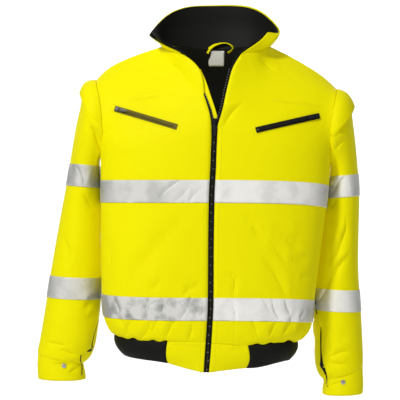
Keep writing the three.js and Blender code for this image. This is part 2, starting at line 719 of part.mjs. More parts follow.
function zipTape(side) {
  const steps = frontEdge(side);
  const rows = steps.map(({ edge, across, out, sag }, i) => {
    const open = ZIP_SHOWN[side];
    const shown = i < CLOSED_ROWS ? ZIP_HALF - SEAM : open[Math.min(i - CLOSED_ROWS, open.length - 1)];
    const hidden = edge.clone().addScaledVector(across, -ZIP_HIDDEN).addScaledVector(out, -sag);
    return [edge.clone().addScaledVector(across, shown), edge.clone(), hidden];
  });
  return { rows, out: steps.map(({ out, inner }) => [out, out, inner]), wraps: false };
}

function stormFlap() {
  const steps = frontEdge('left').slice(0, RIB_STEPS.length + TRUNK.length - 1 + FLAP_SHOWN.length);
  const straight = steps.length - FLAP_SHOWN.length;
  const rows = steps.map(({ edge, across, out, sag }, i) => {
    const shown = i < straight ? FLAP_SHOWN[0] : FLAP_SHOWN[i - straight];
    const hidden = edge.clone().addScaledVector(across, -FLAP_HIDDEN).addScaledVector(out, -sag);
    return [edge.clone().addScaledVector(across, shown), edge.clone(), hidden];
  });
  return { rows, out: steps.map(({ out, inner }) => [out, out, inner]), wraps: false };
}

// Zip sliders and pulls. Each is drawn at the origin with the teeth along Z, then set on its zip

const wasm = await Module();
wasm.setup();
function toManifold(geometry) {
  const merged = mergeVertices(geometry.index ? geometry.toNonIndexed() : geometry, 1e-4);
  return new wasm.Manifold(new wasm.Mesh({
    numProp: 3,
    vertProperties: merged.attributes.position.array,
    triVerts: new Uint32Array(merged.index.array),
  }));
}
function fromManifold(body) {
  const mesh = body.getMesh();
  const geometry = new THREE.BufferGeometry();
  geometry.setAttribute('position', new THREE.BufferAttribute(mesh.vertProperties, 3));
  geometry.setIndex(new THREE.BufferAttribute(mesh.triVerts, 1));
  geometry.computeVertexNormals();
  return geometry;
}
// A flat outline (along, up) given thickness; side is the axis of the thickness
function plate(outline, holes, thick, side) {
  const shape = new THREE.Shape(outline.map(([a, b]) => new THREE.Vector2(a, b)));
  for (const hole of holes) shape.holes.push(new THREE.Path(hole.map(([a, b]) => new THREE.Vector2(a, b))));
  const geometry = new THREE.ExtrudeGeometry(shape, { depth: thick, bevelEnabled: false });
  geometry.translate(0, 0, -thick / 2);
  geometry.deleteAttribute('uv');
  geometry.deleteAttribute('normal');
  const axes = side === 'x'
    ? [V(0, -1, 0), V(0, 0, 1), V(-1, 0, 0)]
    : [V(1, 0, 0), V(0, 0, 1), V(0, -1, 0)];
  return geometry.applyMatrix4(new THREE.Matrix4().makeBasis(...axes));
}

// Slider: a waisted body with an arch on its face. Y is minus the height above the zip
function sliderBody({ wide, tall, deep, arch }) {
  const shield = [
    [-0.5 * wide, 0.5 * tall], [-0.5 * wide, 0.1 * tall], [-0.34 * wide, -0.5 * tall],
    [0.34 * wide, -0.5 * tall], [0.5 * wide, 0.1 * tall], [0.5 * wide, 0.5 * tall],
  ];
  const body = toManifold(plate(shield, [], deep, 'y').translate(0, -deep / 2, 0));
  const foot = deep - 0.5;
  const loop = [[foot, arch.low], [arch.far, arch.low], [arch.far, arch.high], [foot, arch.high]];
  const eye = [
    [deep, arch.low + arch.bar], [arch.far - arch.bar, arch.low + arch.bar],
    [arch.far - arch.bar, arch.high - arch.bar], [deep, arch.high - arch.bar],
  ];
  const strap = toManifold(plate(loop, [eye], arch.wide, 'x'));
  return fromManifold(body.add(strap));
}

// Pull: a flat tab hanging from a bar that lies in the arch; its window clears the arch
function pullTab({ wide, long, thick, window }) {
  const outline = [
    [-0.42 * wide, 0.5 * thick], [0.42 * wide, 0.5 * thick], [0.5 * wide, -0.4 * long],
    [0.36 * wide, -long], [-0.36 * wide, -long], [-0.5 * wide, -0.4 * long],
  ];
  const hole = [
    [-window.half, -0.5 * thick], [-window.half, -window.low],
    [window.half, -window.low], [window.half, -0.5 * thick],
  ];
  return plate(outline, [hole], thick, 'y');
}

// Places a drawn piece: x is the pull's bar, out points away from the cloth, the teeth run along up
function setOn(geometry, spot, out, up, lift) {
  const z = up.clone().addScaledVector(out, -up.dot(out)).normalize();
  const y = out.clone().negate();
  const x = y.clone().cross(z);
  const at = spot.clone().addScaledVector(out, lift);
  return geometry.applyMatrix4(new THREE.Matrix4().makeBasis(x, y, z).setPosition(at));
}

// Chest pockets: a slanted zip strip laid on the front, its slider near the outer end

function pocket(side) {
  const { outer, inner } = POCKETS[side];
  const run = V(inner[0] - outer[0], 0, inner[1] - outer[1]);
  const across = V(-run.z, 0, run.x).normalize().multiplyScalar(POCKET_WIDE / 2);
  if (across.z < 0) across.negate();
  const spots = [-1, 0, 1].map((n) => span(POCKET_STEPS).map((k) => {
    const share = k / POCKET_STEPS;
    const x = outer[0] + run.x * share + across.x * n;
    const z = outer[1] + run.z * share + across.z * n;
    return seenAt(front[side], x, z);
  }));
  const share = POCKET_SLIDER.from / run.length();
  const seat = seenAt(front[side], outer[0] + run.x * share, outer[1] + run.z * share);
  const next = seenAt(front[side], outer[0] + run.x * 2 * share, outer[1] + run.z * 2 * share);
  return {
    strip: {
      rows: spots.map((row) => row.map((q) => q.point)),
      out: spots.map((row) => row.map((q) => q.normal)),
      wraps: false,
    },
    seat: seat.point,
    out: seat.normal,
    up: seat.point.clone().sub(next.point).normalize(),
  };
}

// Neck label, hanger loop and cuff snaps

function label() {
  const spots = span(2).map((i) => span(3).map((j) => {
    const x = mix(LABEL.left, LABEL.right, j / 3);
    return seenAt(lining, x, mix(LABEL.bottom, LABEL.top, i / 2));
  }));
  return {
    rows: spots.map((row) => row.map((q) => q.point)),
    out: spots.map((row) => row.map((q) => q.normal)),
    wraps: false,
  };
}

function hangerLoop() {
  const path = curve(LOOP_PATH);
  const points = path.getSpacedPoints(LOOP_STEPS);
  const rows = [0, 1].map((n) => points.map((p, k) => {
    const along = path.getTangentAt(k / LOOP_STEPS);
    const across = V(along.z, 0, -along.x).normalize();
    return p.clone().addScaledVector(across, (n - 0.5) * LOOP_WIDE);
  }));
  return panel(rows, () => V(0, 200, 15));
}

function snap(side) {
  const { x, z } = SNAPS[side];
  const spot = seenAt(cuff[side], x, z);
  const profile = [[0, 0], [1, 0], [1, 0.5], [0.8, 0.9], [0.35, 1], [0, 1]]
    .map(([r, h]) => new THREE.Vector2(r * SNAP_RADIUS, h * SNAP_HIGH));
  const cap = new THREE.LatheGeometry(profile, 12);
  cap.deleteAttribute('uv');
  cap.deleteAttribute('normal');
  cap.rotateX(Math.PI);
  return setOn(cap, spot.point, spot.normal, V(0, 0, 1), LAID_ON);
}

// Assembly

const jacket = new THREE.Group();
jacket.name = 'hi_vis_work_jacket';
const COLOURS = {
  hi_vis: { color: 0xf2ee00, roughness: 0.75, metalness: 0 },
  black_cloth: { color: 0x141414, roughness: 0.9, metalness: 0 },
  reflective: { color: 0xd4d6d6, roughness: 0.45, metalness: 0.2 },
  zip_black: { color: 0x101010, roughness: 0.6, metalness: 0 },
  zip_metal: { color: 0x26262a, roughness: 0.4, metalness: 0.6 },
  snap_metal: { color: 0xb9b9b2, roughness: 0.35, metalness: 0.9 },
  label_white: { color: 0xe9e9e6, roughness: 0.8, metalness: 0 },
};
function add(name, cloth, geometry) {
  const mesh = new THREE.Mesh(geometry, new THREE.MeshStandardMaterial(COLOURS[cloth]));
  mesh.material.name = cloth;
  mesh.name = name;
  jacket.add(mesh);
}

for (const side of ['left', 'right']) {
  add(`front_${side}`, 'hi_vis', wall(front[side], 0, -CLOTH));
  add(`sleeve_${side}`, 'hi_vis', wall(sleeve[side], 0, -CLOTH));
  add(`cuff_${side}`, 'hi_vis', wall(cuff[side], 0, -CLOTH));
  add(`hem_panel_${side}`, 'hi_vis', wall(hemPanel[side], 0, -CLOTH));
}
add('back', 'hi_vis', wall(back, 0, -CLOTH));
add('collar_outer', 'hi_vis', wall(collar, 0, -CLOTH));
add('rib_hem', 'black_cloth', wall(rib, 0, -RIB));
// The collar lining meets the outer collar at its upper edge, but behind the zip tapes
const liningDepth = (i, j) => {
  const atTape = j < LINING_ENDS || j > collar.rows[0].length - 1 - LINING_ENDS;
  return i === COLLAR_ROWS && !atTape ? CLOTH + LAID_ON : UNDER_SAG;
};
add('collar_lining', 'black_cloth', wall(
  collarLining,
  (i, j) => -liningDepth(i, j),
  (i, j) => -liningDepth(i, j) - COLLAR_LINING,
));
add('back_lining', 'black_cloth', wall(lining, -LINING_FRONT, -LINING_BACK));
add('storm_flap', 'hi_vis', wall(stormFlap(), -UNDER_SAG, -UNDER_SAG - FLAP));

for (const side of ['left', 'right']) {
  const strips = span(STRIPS.front);
  for (const tape of TRUNK_TAPES) {
    const top = (j) => mix(tape.middle, tape[side], (j / STRIPS.front) ** 2);
    add(`tape_${tape.name}_${side}`, 'reflective', laid(band(front[side], top, strips, TAPE_STEPS.trunk)));
  }
  for (const tape of SLEEVE_TAPES[side]) {
    const top = (c) => mix(tape.inner, tape.outer, (1 + Math.cos((2 * Math.PI * c) / RING)) / 2);
    const round = band(sleeve[side], top, span(RING - 1), TAPE_STEPS.sleeve, true);
    add(`tape_sleeve_${tape.name}_${side}`, 'reflective', laid(round));
  }
  add(`armhole_cover_${side}`, 'hi_vis', wall(cover(side), COVER_CLOTH, 0));
  add(`zip_tape_${side}`, 'zip_black', wall(zipTape(side), -ZIP_DEPTH, -ZIP_DEPTH - ZIP_TAPE));
  const zip = pocket(side);
  const face = LAID_ON + POCKET_THICK;
  add(`pocket_zip_${side}`, 'zip_black', wall(zip.strip, face, LAID_ON));
  add(`pocket_slider_${side}`, 'zip_metal', setOn(
    sliderBody(POCKET_SLIDER),
    zip.seat,
    zip.out,
    zip.up,
    face + SEAM,
  ));
  add(`pocket_pull_${side}`, 'zip_metal', setOn(
    pullTab(POCKET_PULL),
    zip.seat.clone().addScaledVector(zip.up, POCKET_PULL.pivot.up),
    zip.out,
    zip.up,
    face + SEAM + POCKET_PULL.pivot.out,
  ));
  add(`cuff_snap_${side}`, 'snap_metal', snap(side));
}
const backStrips = span(2 * STRIPS.back);
for (const tape of TRUNK_TAPES) {
  const top = (j) => {
    const share = j / STRIPS.back - 1;
    return mix((tape.left + tape.right) / 2, share < 0 ? tape.left : tape.right, share * share);
  };
  add(`tape_${tape.name}_back`, 'reflective', laid(band(back, top, backStrips, TAPE_STEPS.trunk)));
}
const zipFace = V(MAIN_SLIDER.x, MAIN_SLIDER.y, MAIN_SLIDER.z);
const OUTWARD = V(0, -1, 0);
add('zip_slider', 'zip_metal', setOn(sliderBody(MAIN_SLIDER), zipFace, OUTWARD, V(0, 0, 1), 0));
add('zip_pull', 'zip_metal', setOn(
  pullTab(MAIN_PULL),
  zipFace.clone().add(V(0, 0, MAIN_PULL.pivot.up)),
  OUTWARD,
  V(0, 0, 1),
  MAIN_PULL.pivot.out,
));
const labelFace = -LINING_BACK - LABEL.clear;
add('neck_label', 'label_white', wall(label(), labelFace, labelFace - LABEL.thick));
add('hanger_loop', 'hi_vis', wall(hangerLoop(), 0, -LOOP_THICK));

export default jacket;
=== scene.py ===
import json
import math

import bmesh
import bpy
import numpy as np
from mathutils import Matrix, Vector
from mathutils.bvhtree import BVHTree


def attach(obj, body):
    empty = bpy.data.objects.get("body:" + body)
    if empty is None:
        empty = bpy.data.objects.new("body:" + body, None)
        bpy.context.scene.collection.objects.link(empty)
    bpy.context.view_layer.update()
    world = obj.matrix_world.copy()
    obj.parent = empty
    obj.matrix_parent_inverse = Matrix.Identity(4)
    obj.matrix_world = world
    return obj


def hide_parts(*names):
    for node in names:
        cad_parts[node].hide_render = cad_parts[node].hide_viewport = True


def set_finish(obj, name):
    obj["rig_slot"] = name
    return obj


# Hi-vis work jacket, worn shape with no wearer. Metres here, millimetres in the tables.
# Left and right are those of somebody who looks at the front (-X and +X).

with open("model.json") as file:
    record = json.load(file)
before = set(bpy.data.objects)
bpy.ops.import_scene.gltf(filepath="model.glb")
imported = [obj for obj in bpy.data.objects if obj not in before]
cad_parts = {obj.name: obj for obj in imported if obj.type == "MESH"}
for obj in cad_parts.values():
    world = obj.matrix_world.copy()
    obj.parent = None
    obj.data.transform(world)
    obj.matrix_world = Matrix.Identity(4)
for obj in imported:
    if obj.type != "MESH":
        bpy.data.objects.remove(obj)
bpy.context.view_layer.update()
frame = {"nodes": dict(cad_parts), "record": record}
MM = 0.001
SIDES = ("left", "right")

# Camera: 3 m in front of the jacket, level, 400 pixels across 0.924 m at the origin's depth

EYE = (-0.035, -3.0, -0.346)
SEEN_WIDTH = 0.924
camera_data = bpy.data.cameras.new("camera")
camera_data.sensor_width = 36
camera_data.lens = camera_data.sensor_width * -EYE[1] / SEEN_WIDTH
camera = bpy.data.objects.new("camera", camera_data)
camera.location = EYE
camera.rotation_euler = (math.pi / 2, 0, 0)
bpy.context.scene.collection.objects.link(camera)
bpy.context.scene.camera = camera

# Creases on the side that shows, drawn in the plane of the picture: from (x, z) to (x, z),
# half width, depth and sideways bow, all in mm. Each is a soft trough with a low ridge beside it.
TRUNK_CREASES = [
    (-104, -35, -45, -113, 13, 3.5, 4),
    (-197, -530, -64, -382, 15, 3.0, 8),
    (-144, -548, -122, -522, 8, 2.0, 0),
    (-72, -556, -34, -533, 8, 3.0, 4),
    (-128, -346, -78, -302, 6, 2.2, 5),
    (-98, -352, -60, -318, 5, 1.2, -4),
    (-60, -352, -36, -322, 5, 1.8, 2),
    (-228, -566, -214, -600, 7, 2.5, 2),
    (-225, -600, -204, -628, 7, 3.0, 0),
    (-204, -652, -188, -612, 7, 2.6, 2),
    (-168, -655, -144, -612, 7, 3.0, -3),
    (-140, -642, -126, -604, 6, 2.0, 2),
    (-112, -658, -86, -606, 7, 3.0, 4),
    (-60, -655, -52, -618, 7, 2.0, -2),
    (-162, -597, -145, -559, 5, 1.8, 2),
    (-130, -603, -115, -571, 5, 2.2, -2),
    (-148, -580, -126, -567, 4, 1.4, 0),
    (-80, -610, -56, -558, 7, 2.6, -4),
    (80, -397, 117, -440, 11, 3.4, -4),
    (116, -432, 156, -486, 10, 3.2, 5),
    (136, -420, 224, -455, 10, 3.4, -5),
    (104, -468, 156, -560, 10, 3.8, 6),
    (166, -481, 222, -474, 8, 2.8, 3),
    (184, -520, 222, -510, 8, 2.8, -2),
    (44, -520, 40, -562, 7, 2.4, 0),
    (20, -506, 56, -532, 9, 2.4, 3),
    (60, -384, 84, -398, 9, 2.0, 0),
    (153, -566, 165, -600, 4, 2.6, 0),
    (124, -562, 146, -614, 8, 2.8, -4),
    (100, -560, 120, -596, 7, 1.8, 2),
    (186, -616, 198, -592, 5, 2.4, 0),
    (38, -566, 43, -616, 5, 2.2, 1),
    (18, -182, 56, -134, 9, 2.8, 3),
    (108, -30, 140, -56, 9, 2.6, -2),
    (150, -60, 196, -88, 10, 1.8, 4),
    (78, -606, 96, -660, 8, 2.8, 3),
    (120, -650, 134, -618, 7, 2.4, 0),
    (152, -642, 170, -606, 8, 3.0, -3),
    (184, -640, 204, -612, 7, 3.0, 2),
    (-250, -420, -236, -500, 12, 2.4, 4),
    (226, -560, 216, -610, 8, 2.6, 0),
]
SLEEVE_CREASES = [
    (268, -488, 304, -402, 9, 4.5, -4),
    (256, -545, 308, -472, 9, 4.5, 4),
    (238, -420, 270, -376, 9, 4.2, -3),
    (250, -380, 280, -345, 8, 3.6, 0),
    (232, -594, 260, -545, 4, 3.2, 0),
    (264, -340, 296, -292, 6, 4.6, 3),
    (256, -338, 272, -308, 4, 2.6, 0),
    (298, -178, 310, -150, 7, 3.0, 0),
    (272, -232, 300, -206, 10, 3.0, 3),
    (236, -422, 240, -514, 9, 3.0, 3),
    (222, -608, 244, -642, 8, 4.0, 0),
    (282, -667, 314, -660, 6, 2.6, 0),
    (268, -706, 308, -694, 7, 3.0, 3),
    (262, -722, 300, -724, 6, 2.6, 0),
    (245, -636, 246, -731, 5, 6.0, 1),
    (246, -731, 259, -758, 5, 5.0, 0),
    (-300, -594, -270, -565, 9, 3.6, 0),
    (-294, -619, -266, -612, 7, 3.0, 2),
    (-272, -636, -288, -694, 5, 5.5, 0),
    (-320, -266, -302, -314, 9, 3.4, 3),
    (-282, -178, -262, -236, 9, 8.5, 4),
    (-352, -430, -338, -500, 12, 2.4, 5),
    (-392, -676, -344, -682, 6, 2.2, 2),
    (-356, -690, -318, -704, 6, 2.6, 0),
    (-300, -330, -276, -372, 12, 2.8, -3),
]
CUFF_CREASES = [
    (278, -757, 320, -742, 6, 2.6, 2),
    (262, -776, 290, -764, 5, 1.8, 0),
    (-372, -722, -330, -730, 6, 2.2, 2),
    (-336, -744, -318, -734, 5, 2.0, 0),
]
# Seams: narrow lines, sewn flat
TRUNK_SEAMS = [
    (126, -119, 184, -125, 2.2, 0.9, 0),
    (186, -125, 236, -131, 2.2, 0.9, 0),
    (45, -520, 43, -556, 2.0, 0.8, 0),
    (40, -618, 38, -674, 2.0, 0.8, 0),
    (28, -672, 72, -669, 2.2, 1.0, 0),
    (-106, -658, -26, -666, 2.2, 1.0, 0),
    (-194, -118, -122, -110, 2.2, 0.8, 0),
]
TRUNK_CREASES += TRUNK_SEAMS
# The hidden side has similar creases, on the other side and a little lower
HIDDEN = {"across": -0.86, "shift": -8, "down": 14, "depth": 0.9}
RIDGE = 0.4
RIDGE_AT = 1.4
SOFT = 0.4
FOLD = 0.2
DEEPER = 1.9


def hidden(rows):
    """The creases of the side away from the picture."""
    k, s, d = HIDDEN["across"], HIDDEN["shift"], HIDDEN["down"]
    return [
        (x0 * k + s, z0 - d, x1 * k + s, z1 - d, w, deep * HIDDEN["depth"], -bow)
        for x0, z0, x1, z1, w, deep, bow in rows
    ]


def crease_depth(points, rows):
    """How far in each (x, z) point lies, in metres."""
    total = np.zeros(len(points))
    for x0, z0, x1, z1, half, deep, bow in rows:
        start, end = np.array([x0, z0]) * MM, np.array([x1, z1]) * MM
        along = end - start
        length = np.linalg.norm(along)
        along /= length
        across = np.array([-along[1], along[0]])
        rel = points - start
        t = np.clip(rel @ along / length, 0, 1)
        past = np.abs(rel @ along - t * length)
        aside = rel @ across - bow * MM * 4 * t * (1 - t)
        spread = half * MM * (0.7 + 0.6 * np.sin(np.pi * t))
        fade = np.sin(np.pi * np.clip(t, 0.02, 0.98)) ** 0.6
        fade *= np.exp(-((past / (half * MM)) ** 2))
        trough = SOFT * np.exp(-((aside / spread) ** 2))
        trough += (1 - SOFT) * np.exp(-np.abs(aside) / (FOLD * spread))
        ridge = RIDGE * np.exp(-((aside / spread - RIDGE_AT) ** 2))
        total += deep * DEEPER * MM * fade * (trough - ridge)
    return total


# Cloth shells: each follows the form of its solid, smoothed, then creased

CORNER_TURN = math.radians(38)
WALL_EDGE = math.radians(48)


def coordinates(mesh):
    flat = np.empty(len(mesh.vertices) * 3, np.float32)
    mesh.vertices.foreach_get("co", flat)
    return flat.reshape(-1, 3).astype(float)


def normals(mesh):
    flat = np.empty(len(mesh.vertices) * 3, np.float32)
    mesh.vertices.foreach_get("normal", flat)
    return flat.reshape(-1, 3).astype(float)


def place(mesh, points):
    mesh.vertices.foreach_set("co", points.astype(np.float32).ravel())
    mesh.update()


def pair_triangles(bm):
    """Joins the two halves of each four-sided field: they share their longest edge."""
    longest = {f: max(f.edges, key=lambda e: e.calc_length()) for f in bm.faces}
    joins = []
    for edge in bm.edges:
        faces = edge.link_faces
        if len(faces) == 2 and all(longest[f] is edge for f in faces):
            if edge.calc_face_angle(0) < WALL_EDGE:
                joins.append(edge)
    bmesh.ops.dissolve_edges(bm, edges=joins, use_verts=False, use_face_split=False)
    rest = [f for f in bm.faces if len(f.verts) == 3]
    bmesh.ops.join_triangles(
        bm, faces=rest, angle_face_threshold=0.6, angle_shape_threshold=2.5)


def smooth_copy(node, name, level):
    """A finer, rounded copy of a solid, its wall edges and corners kept."""
    mesh = frame["nodes"][node].data.copy()
    bm = bmesh.new()
    bm.from_mesh(mesh)
    bmesh.ops.remove_doubles(bm, verts=bm.verts, dist=2e-5)
    pair_triangles(bm)
    crease = bm.edges.layers.float.new("crease_edge")
    pin = bm.verts.layers.float.new("crease_vert")
    for edge in bm.edges:
        if len(edge.link_faces) == 2 and edge.calc_face_angle(0) > WALL_EDGE:
            edge[crease] = 1.0
    for vert in bm.verts:
        sharp = [e for e in vert.link_edges if e[crease] == 1.0]
        if len(sharp) > 2:
            vert[pin] = 1.0
        elif len(sharp) == 2:
            a, b = ((e.other_vert(vert).co - vert.co).normalized() for e in sharp)
            if a.angle(-b, 0) > CORNER_TURN:
                vert[pin] = 1.0
    bm.to_mesh(mesh)
    bm.free()
    thing = bpy.data.objects.new(name, mesh)
    bpy.context.scene.collection.objects.link(thing)
    rounded = thing.modifiers.new("rounded", "SUBSURF")
    rounded.levels = rounded.render_levels = level
    rounded.use_limit_surface = False
    done = bpy.data.meshes.new_from_object(
        thing.evaluated_get(bpy.context.evaluated_depsgraph_get()))
    thing.modifiers.clear()
    thing.data = done
    done.shade_smooth()
    done.set_sharp_from_angle(angle=math.radians(50))
    return thing


def outward(points, axis):
    """Unit directions away from a piece's own axis line, given by its top and bottom point."""
    top, low = (np.array(p) * MM for p in axis)
    share = np.clip((points[:, 2] - top[2]) / (low[2] - top[2]), -0.2, 1.2)[:, None]
    away = points - (top + (low - top) * share)
    away[:, 2] *= 0.15
    return away / np.linalg.norm(away, axis=1)[:, None]


# Small shifts of the front's lower edge, the same for every piece they meet:
# x, z, reach in x and z, then shift in x and z, in mm
SHIFTS = [
    (64, -712, 22, 34, 8.5, 0),
    (-98, -712, 22, 34, -9.5, 0),
    (58, -660, 62, 26, 0, -8),
    (-252, -262, 30, 62, 5, 0),
]
SHIFTED_AHEAD_OF = -40


def shift(points, which):
    moved = points.copy()
    for k in which:
        x, z, reach_x, reach_z, dx, dz = SHIFTS[k]
        share = np.exp(-(((points[:, 0] / MM - x) / reach_x) ** 2)
                       - ((points[:, 2] / MM - z) / reach_z) ** 2)
        share *= np.clip((SHIFTED_AHEAD_OF - points[:, 1] / MM) / 30 + 1, 0, 1)
        moved[:, 0] += share * dx * MM
        moved[:, 2] += share * dz * MM
    return moved


SHIFTS_OF = {
    "front_right": (2,), "hem_panel_right": (0, 2), "hem_panel_left": (1,),
    "rib_hem": (0, 1, 2), "sleeve_left": (3,),
}
AXES = {
    "trunk": ((2, 0, 20), (-16, 0, -700)),
    "left": ((-275, 0, -150), (-358, 38, -740)),
    "right": ((280, 0, -160), (298, 38, -780)),
    "collar": ((2, 10, 140), (2, 5, 0)),
}


def near_crease(points, rows, narrower):
    """Which (x, z) points lie on a crease narrower than the given half width."""
    found = np.zeros(len(points), bool)
    for x0, z0, x1, z1, half, _, bow in rows:
        if half > narrower:
            continue
        start, end = np.array([x0, z0]) * MM, np.array([x1, z1]) * MM
        along = end - start
        length = np.linalg.norm(along)
        along /= length
        rel = points - start
        t = np.clip(rel @ along / length, 0, 1)
        aside = rel @ np.array([-along[1], along[0]]) - bow * MM * 4 * t * (1 - t)
        past = np.abs(rel @ along - t * length)
        found |= (np.abs(aside) < 2.4 * half * MM) & (past < half * MM)
    return found


REFINED = (99, 12, 7)


def refine(thing, axis, rows, narrower):
    """Halves the outer face's edges where a narrow crease will lie."""
    points, facing = coordinates(thing.data), normals(thing.data)
    away = outward(points, AXES[axis])
    outer = (away * facing).sum(1) > 0.3
    flat = points[:, [0, 2]]
    chosen = near_crease(flat, rows, narrower) & (away[:, 1] < -0.2)
    chosen |= near_crease(flat, hidden(rows), narrower) & (away[:, 1] > 0.2)
    chosen &= outer
    if not chosen.any():
        return
    bm = bmesh.new()
    bm.from_mesh(thing.data)
    edges = [e for e in bm.edges if chosen[e.verts[0].index] and chosen[e.verts[1].index]]
    bmesh.ops.subdivide_edges(bm, edges=edges, cuts=1, use_grid_fill=True)
    bm.to_mesh(thing.data)
    bm.free()
    thing.data.shade_smooth()
    thing.data.set_sharp_from_angle(angle=math.radians(50))


def crumple(thing, axis, rows, share=1.0):
    """Moves both faces of a cloth wall together, in at a trough and out at a ridge."""
    points = coordinates(thing.data)
    away = outward(points, AXES[axis])
    flat = points[:, [0, 2]]
    front = np.clip(-away[:, 1] * 1.8, 0, 1)
    back = np.clip(away[:, 1] * 1.8, 0, 1)
    depth = crease_depth(flat, rows) * front + crease_depth(flat, hidden(rows)) * back
    place(thing.data, points - away * (depth * share)[:, None])


# The trunk's lower edge puckers over the rib knit
GATHERED = ("front_left", "front_right", "back")
PUCKER = {"from": -636, "full": -656, "tall": 2.0, "deep": 1.6}


def gather(thing):
    points = coordinates(thing.data)
    x, z = points[:, 0] / MM, points[:, 2] / MM
    share = np.clip((PUCKER["from"] - z) / (PUCKER["from"] - PUCKER["full"]), 0, 1)
    share *= np.clip((np.abs(x + 18) - 62) / 30, 0, 1)
    wave = np.sin(x / 6.1) + 0.6 * np.sin(x / 3.7 + 1.0) + 0.5 * np.sin(x / 11.3)
    points[:, 2] += share * wave * PUCKER["tall"] * MM
    points[:, 1] += np.sign(points[:, 1]) * share * wave * PUCKER["deep"] * MM
    place(thing.data, points)


def shell(node, level, axis, rows, slot, name=None):
    thing = smooth_copy(node, name or f"{node}_cloth", level)
    place(thing.data, shift(coordinates(thing.data), SHIFTS_OF.get(node, ())))
    if rows:
        for narrower in REFINED:
            refine(thing, axis, rows, narrower)
        crumple(thing, axis, rows)
    if node in GATHERED:
        gather(thing)
    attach(thing, "jacket")
    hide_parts(node)
    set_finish(thing, slot)
    return thing


cloth = {}
for side in SIDES:
    cloth[f"front_{side}"] = shell(f"front_{side}", 2, "trunk", TRUNK_CREASES, "hi_vis")
    cloth[f"sleeve_{side}"] = shell(f"sleeve_{side}", 2, side, SLEEVE_CREASES, "hi_vis")
    cloth[f"cuff_{side}"] = shell(f"cuff_{side}", 2, side, CUFF_CREASES, "hi_vis")
    cloth[f"hem_panel_{side}"] = shell(f"hem_panel_{side}", 3, "trunk", [], "hi_vis")
    cloth[f"armhole_cover_{side}"] = shell(f"armhole_cover_{side}", 3, side, [], "hi_vis")
# The left front's free edge rolls over its zip tape above the storm flap's visible end

LAPEL = {"top": -16, "low": -112, "inside": 34, "over": 11.5, "lift": 5.0}


def roll_lapel(thing):
    points = coordinates(thing.data)
    z, x = points[:, 2] / MM, points[:, 0] / MM
    line = np.interp(-z, [20, 40, 60, 80, 100, 120], [-62, -48, -40, -33, -28, -24])
    span = np.clip((LAPEL["top"] - z) / (LAPEL["top"] - LAPEL["low"]), 0, 1)
    share = np.sin(np.pi * span ** 0.9) ** 0.7
    share *= np.clip(1 - (line - x) / LAPEL["inside"], 0, 1) ** 2 * (points[:, 1] < 0)
    points[:, 0] += share * LAPEL["over"] * MM
    points[:, 1] -= share * LAPEL["lift"] * MM
    place(thing.data, points)


roll_lapel(cloth["front_left"])
cloth["back"] = shell("back", 2, "trunk", TRUNK_CREASES, "hi_vis")
cloth["collar_outer"] = shell("collar_outer", 3, "collar", [], "hi_vis")
cloth["storm_flap"] = shell("storm_flap", 2, "trunk", [], "hi_vis")
cloth["collar_lining"] = shell("collar_lining", 3, "collar", [], "black_cloth")
cloth["back_lining"] = shell("back_lining", 2, "trunk", [], "black_cloth")
cloth["rib_hem"] = shell("rib_hem", 2, "trunk", [], "black_cloth")
cloth["neck_label"] = shell("neck_label", 2, "trunk", [], "label_white")

# The hanger loop is a narrow band that stands up and turns on itself

LOOP = [  # x, z, half width as seen
    (-18.0, 2.0, 3.4), (-13.0, 12.0, 3.6), (-2.0, 20.5, 3.0), (11.0, 25.0, 1.9), (24.0, 26.5, 1.3),
    (35.0, 23.5, 1.5), (42.5, 17.5, 1.9), (43.5, 11.5, 2.1), (38.0, 5.5, 2.5), (31.0, 2.5, 2.7),
]
LOOP_AT = {"y": 81, "half_depth": 4.3, "half_thick": 0.45, "per_span": 6}


def smooth_rows(rows, per_span):
    """Catmull-Rom through the rows."""
    rows = np.array(rows, float)
    padded = np.vstack([2 * rows[0] - rows[1], rows, 2 * rows[-1] - rows[-2]])
    out = []
    for k in range(len(rows) - 1):
        a, b, c, d = padded[k:k + 4]
        for t in np.arange(per_span) / per_span:
            out.append(0.5 * (2 * b + (c - a) * t + (2 * a - 5 * b + 4 * c - d) * t * t
                              + (3 * b - a - 3 * c + d) * t ** 3))
    out.append(rows[-1])
    return np.array(out)


def ribbon(name, rows, y, half_depth, half_thick, per_span):
    path = smooth_rows(rows, per_span)
    ahead = np.gradient(path[:, :2], axis=0)
    ahead /= np.linalg.norm(ahead, axis=1)[:, None]
    verts, faces = [], []
    for (x, z, half), (dx, dz) in zip(path, ahead):
        centre = np.array([x, y, z])
        wide = np.array([-dz * half, half_depth, dx * half])
        thick = np.cross(wide, [dx, 0, dz])
        thick *= half_thick / np.linalg.norm(thick)
        for u, v in ((-1, -1), (1, -1), (1, 1), (-1, 1)):
            verts.append((centre + u * wide + v * thick) * MM)
    for k in range(len(path) - 1):
        for j in range(4):
            n = (j + 1) % 4
            faces.append((4 * k + j, 4 * k + n, 4 * k + 4 + n, 4 * k + 4 + j))
    last = 4 * (len(path) - 1)
    faces += [(3, 2, 1, 0), (last, last + 1, last + 2, last + 3)]
    mesh = bpy.data.meshes.new(name)
    mesh.from_pydata([tuple(v) for v in verts], [], faces)
    thing = bpy.data.objects.new(name, mesh)
    bpy.context.scene.collection.objects.link(thing)
    mesh.shade_smooth()
    mesh.set_sharp_from_angle(angle=math.radians(50))
    return thing


loop = ribbon("hanger_loop_band", LOOP, **LOOP_AT)
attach(loop, "jacket")
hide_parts("hanger_loop")
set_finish(loop, "hi_vis")
cloth["hanger_loop"] = loop

# Reflective tape lies on the creased cloth

TAPE_OFF = {"near": 0.6, "far": 1.5}


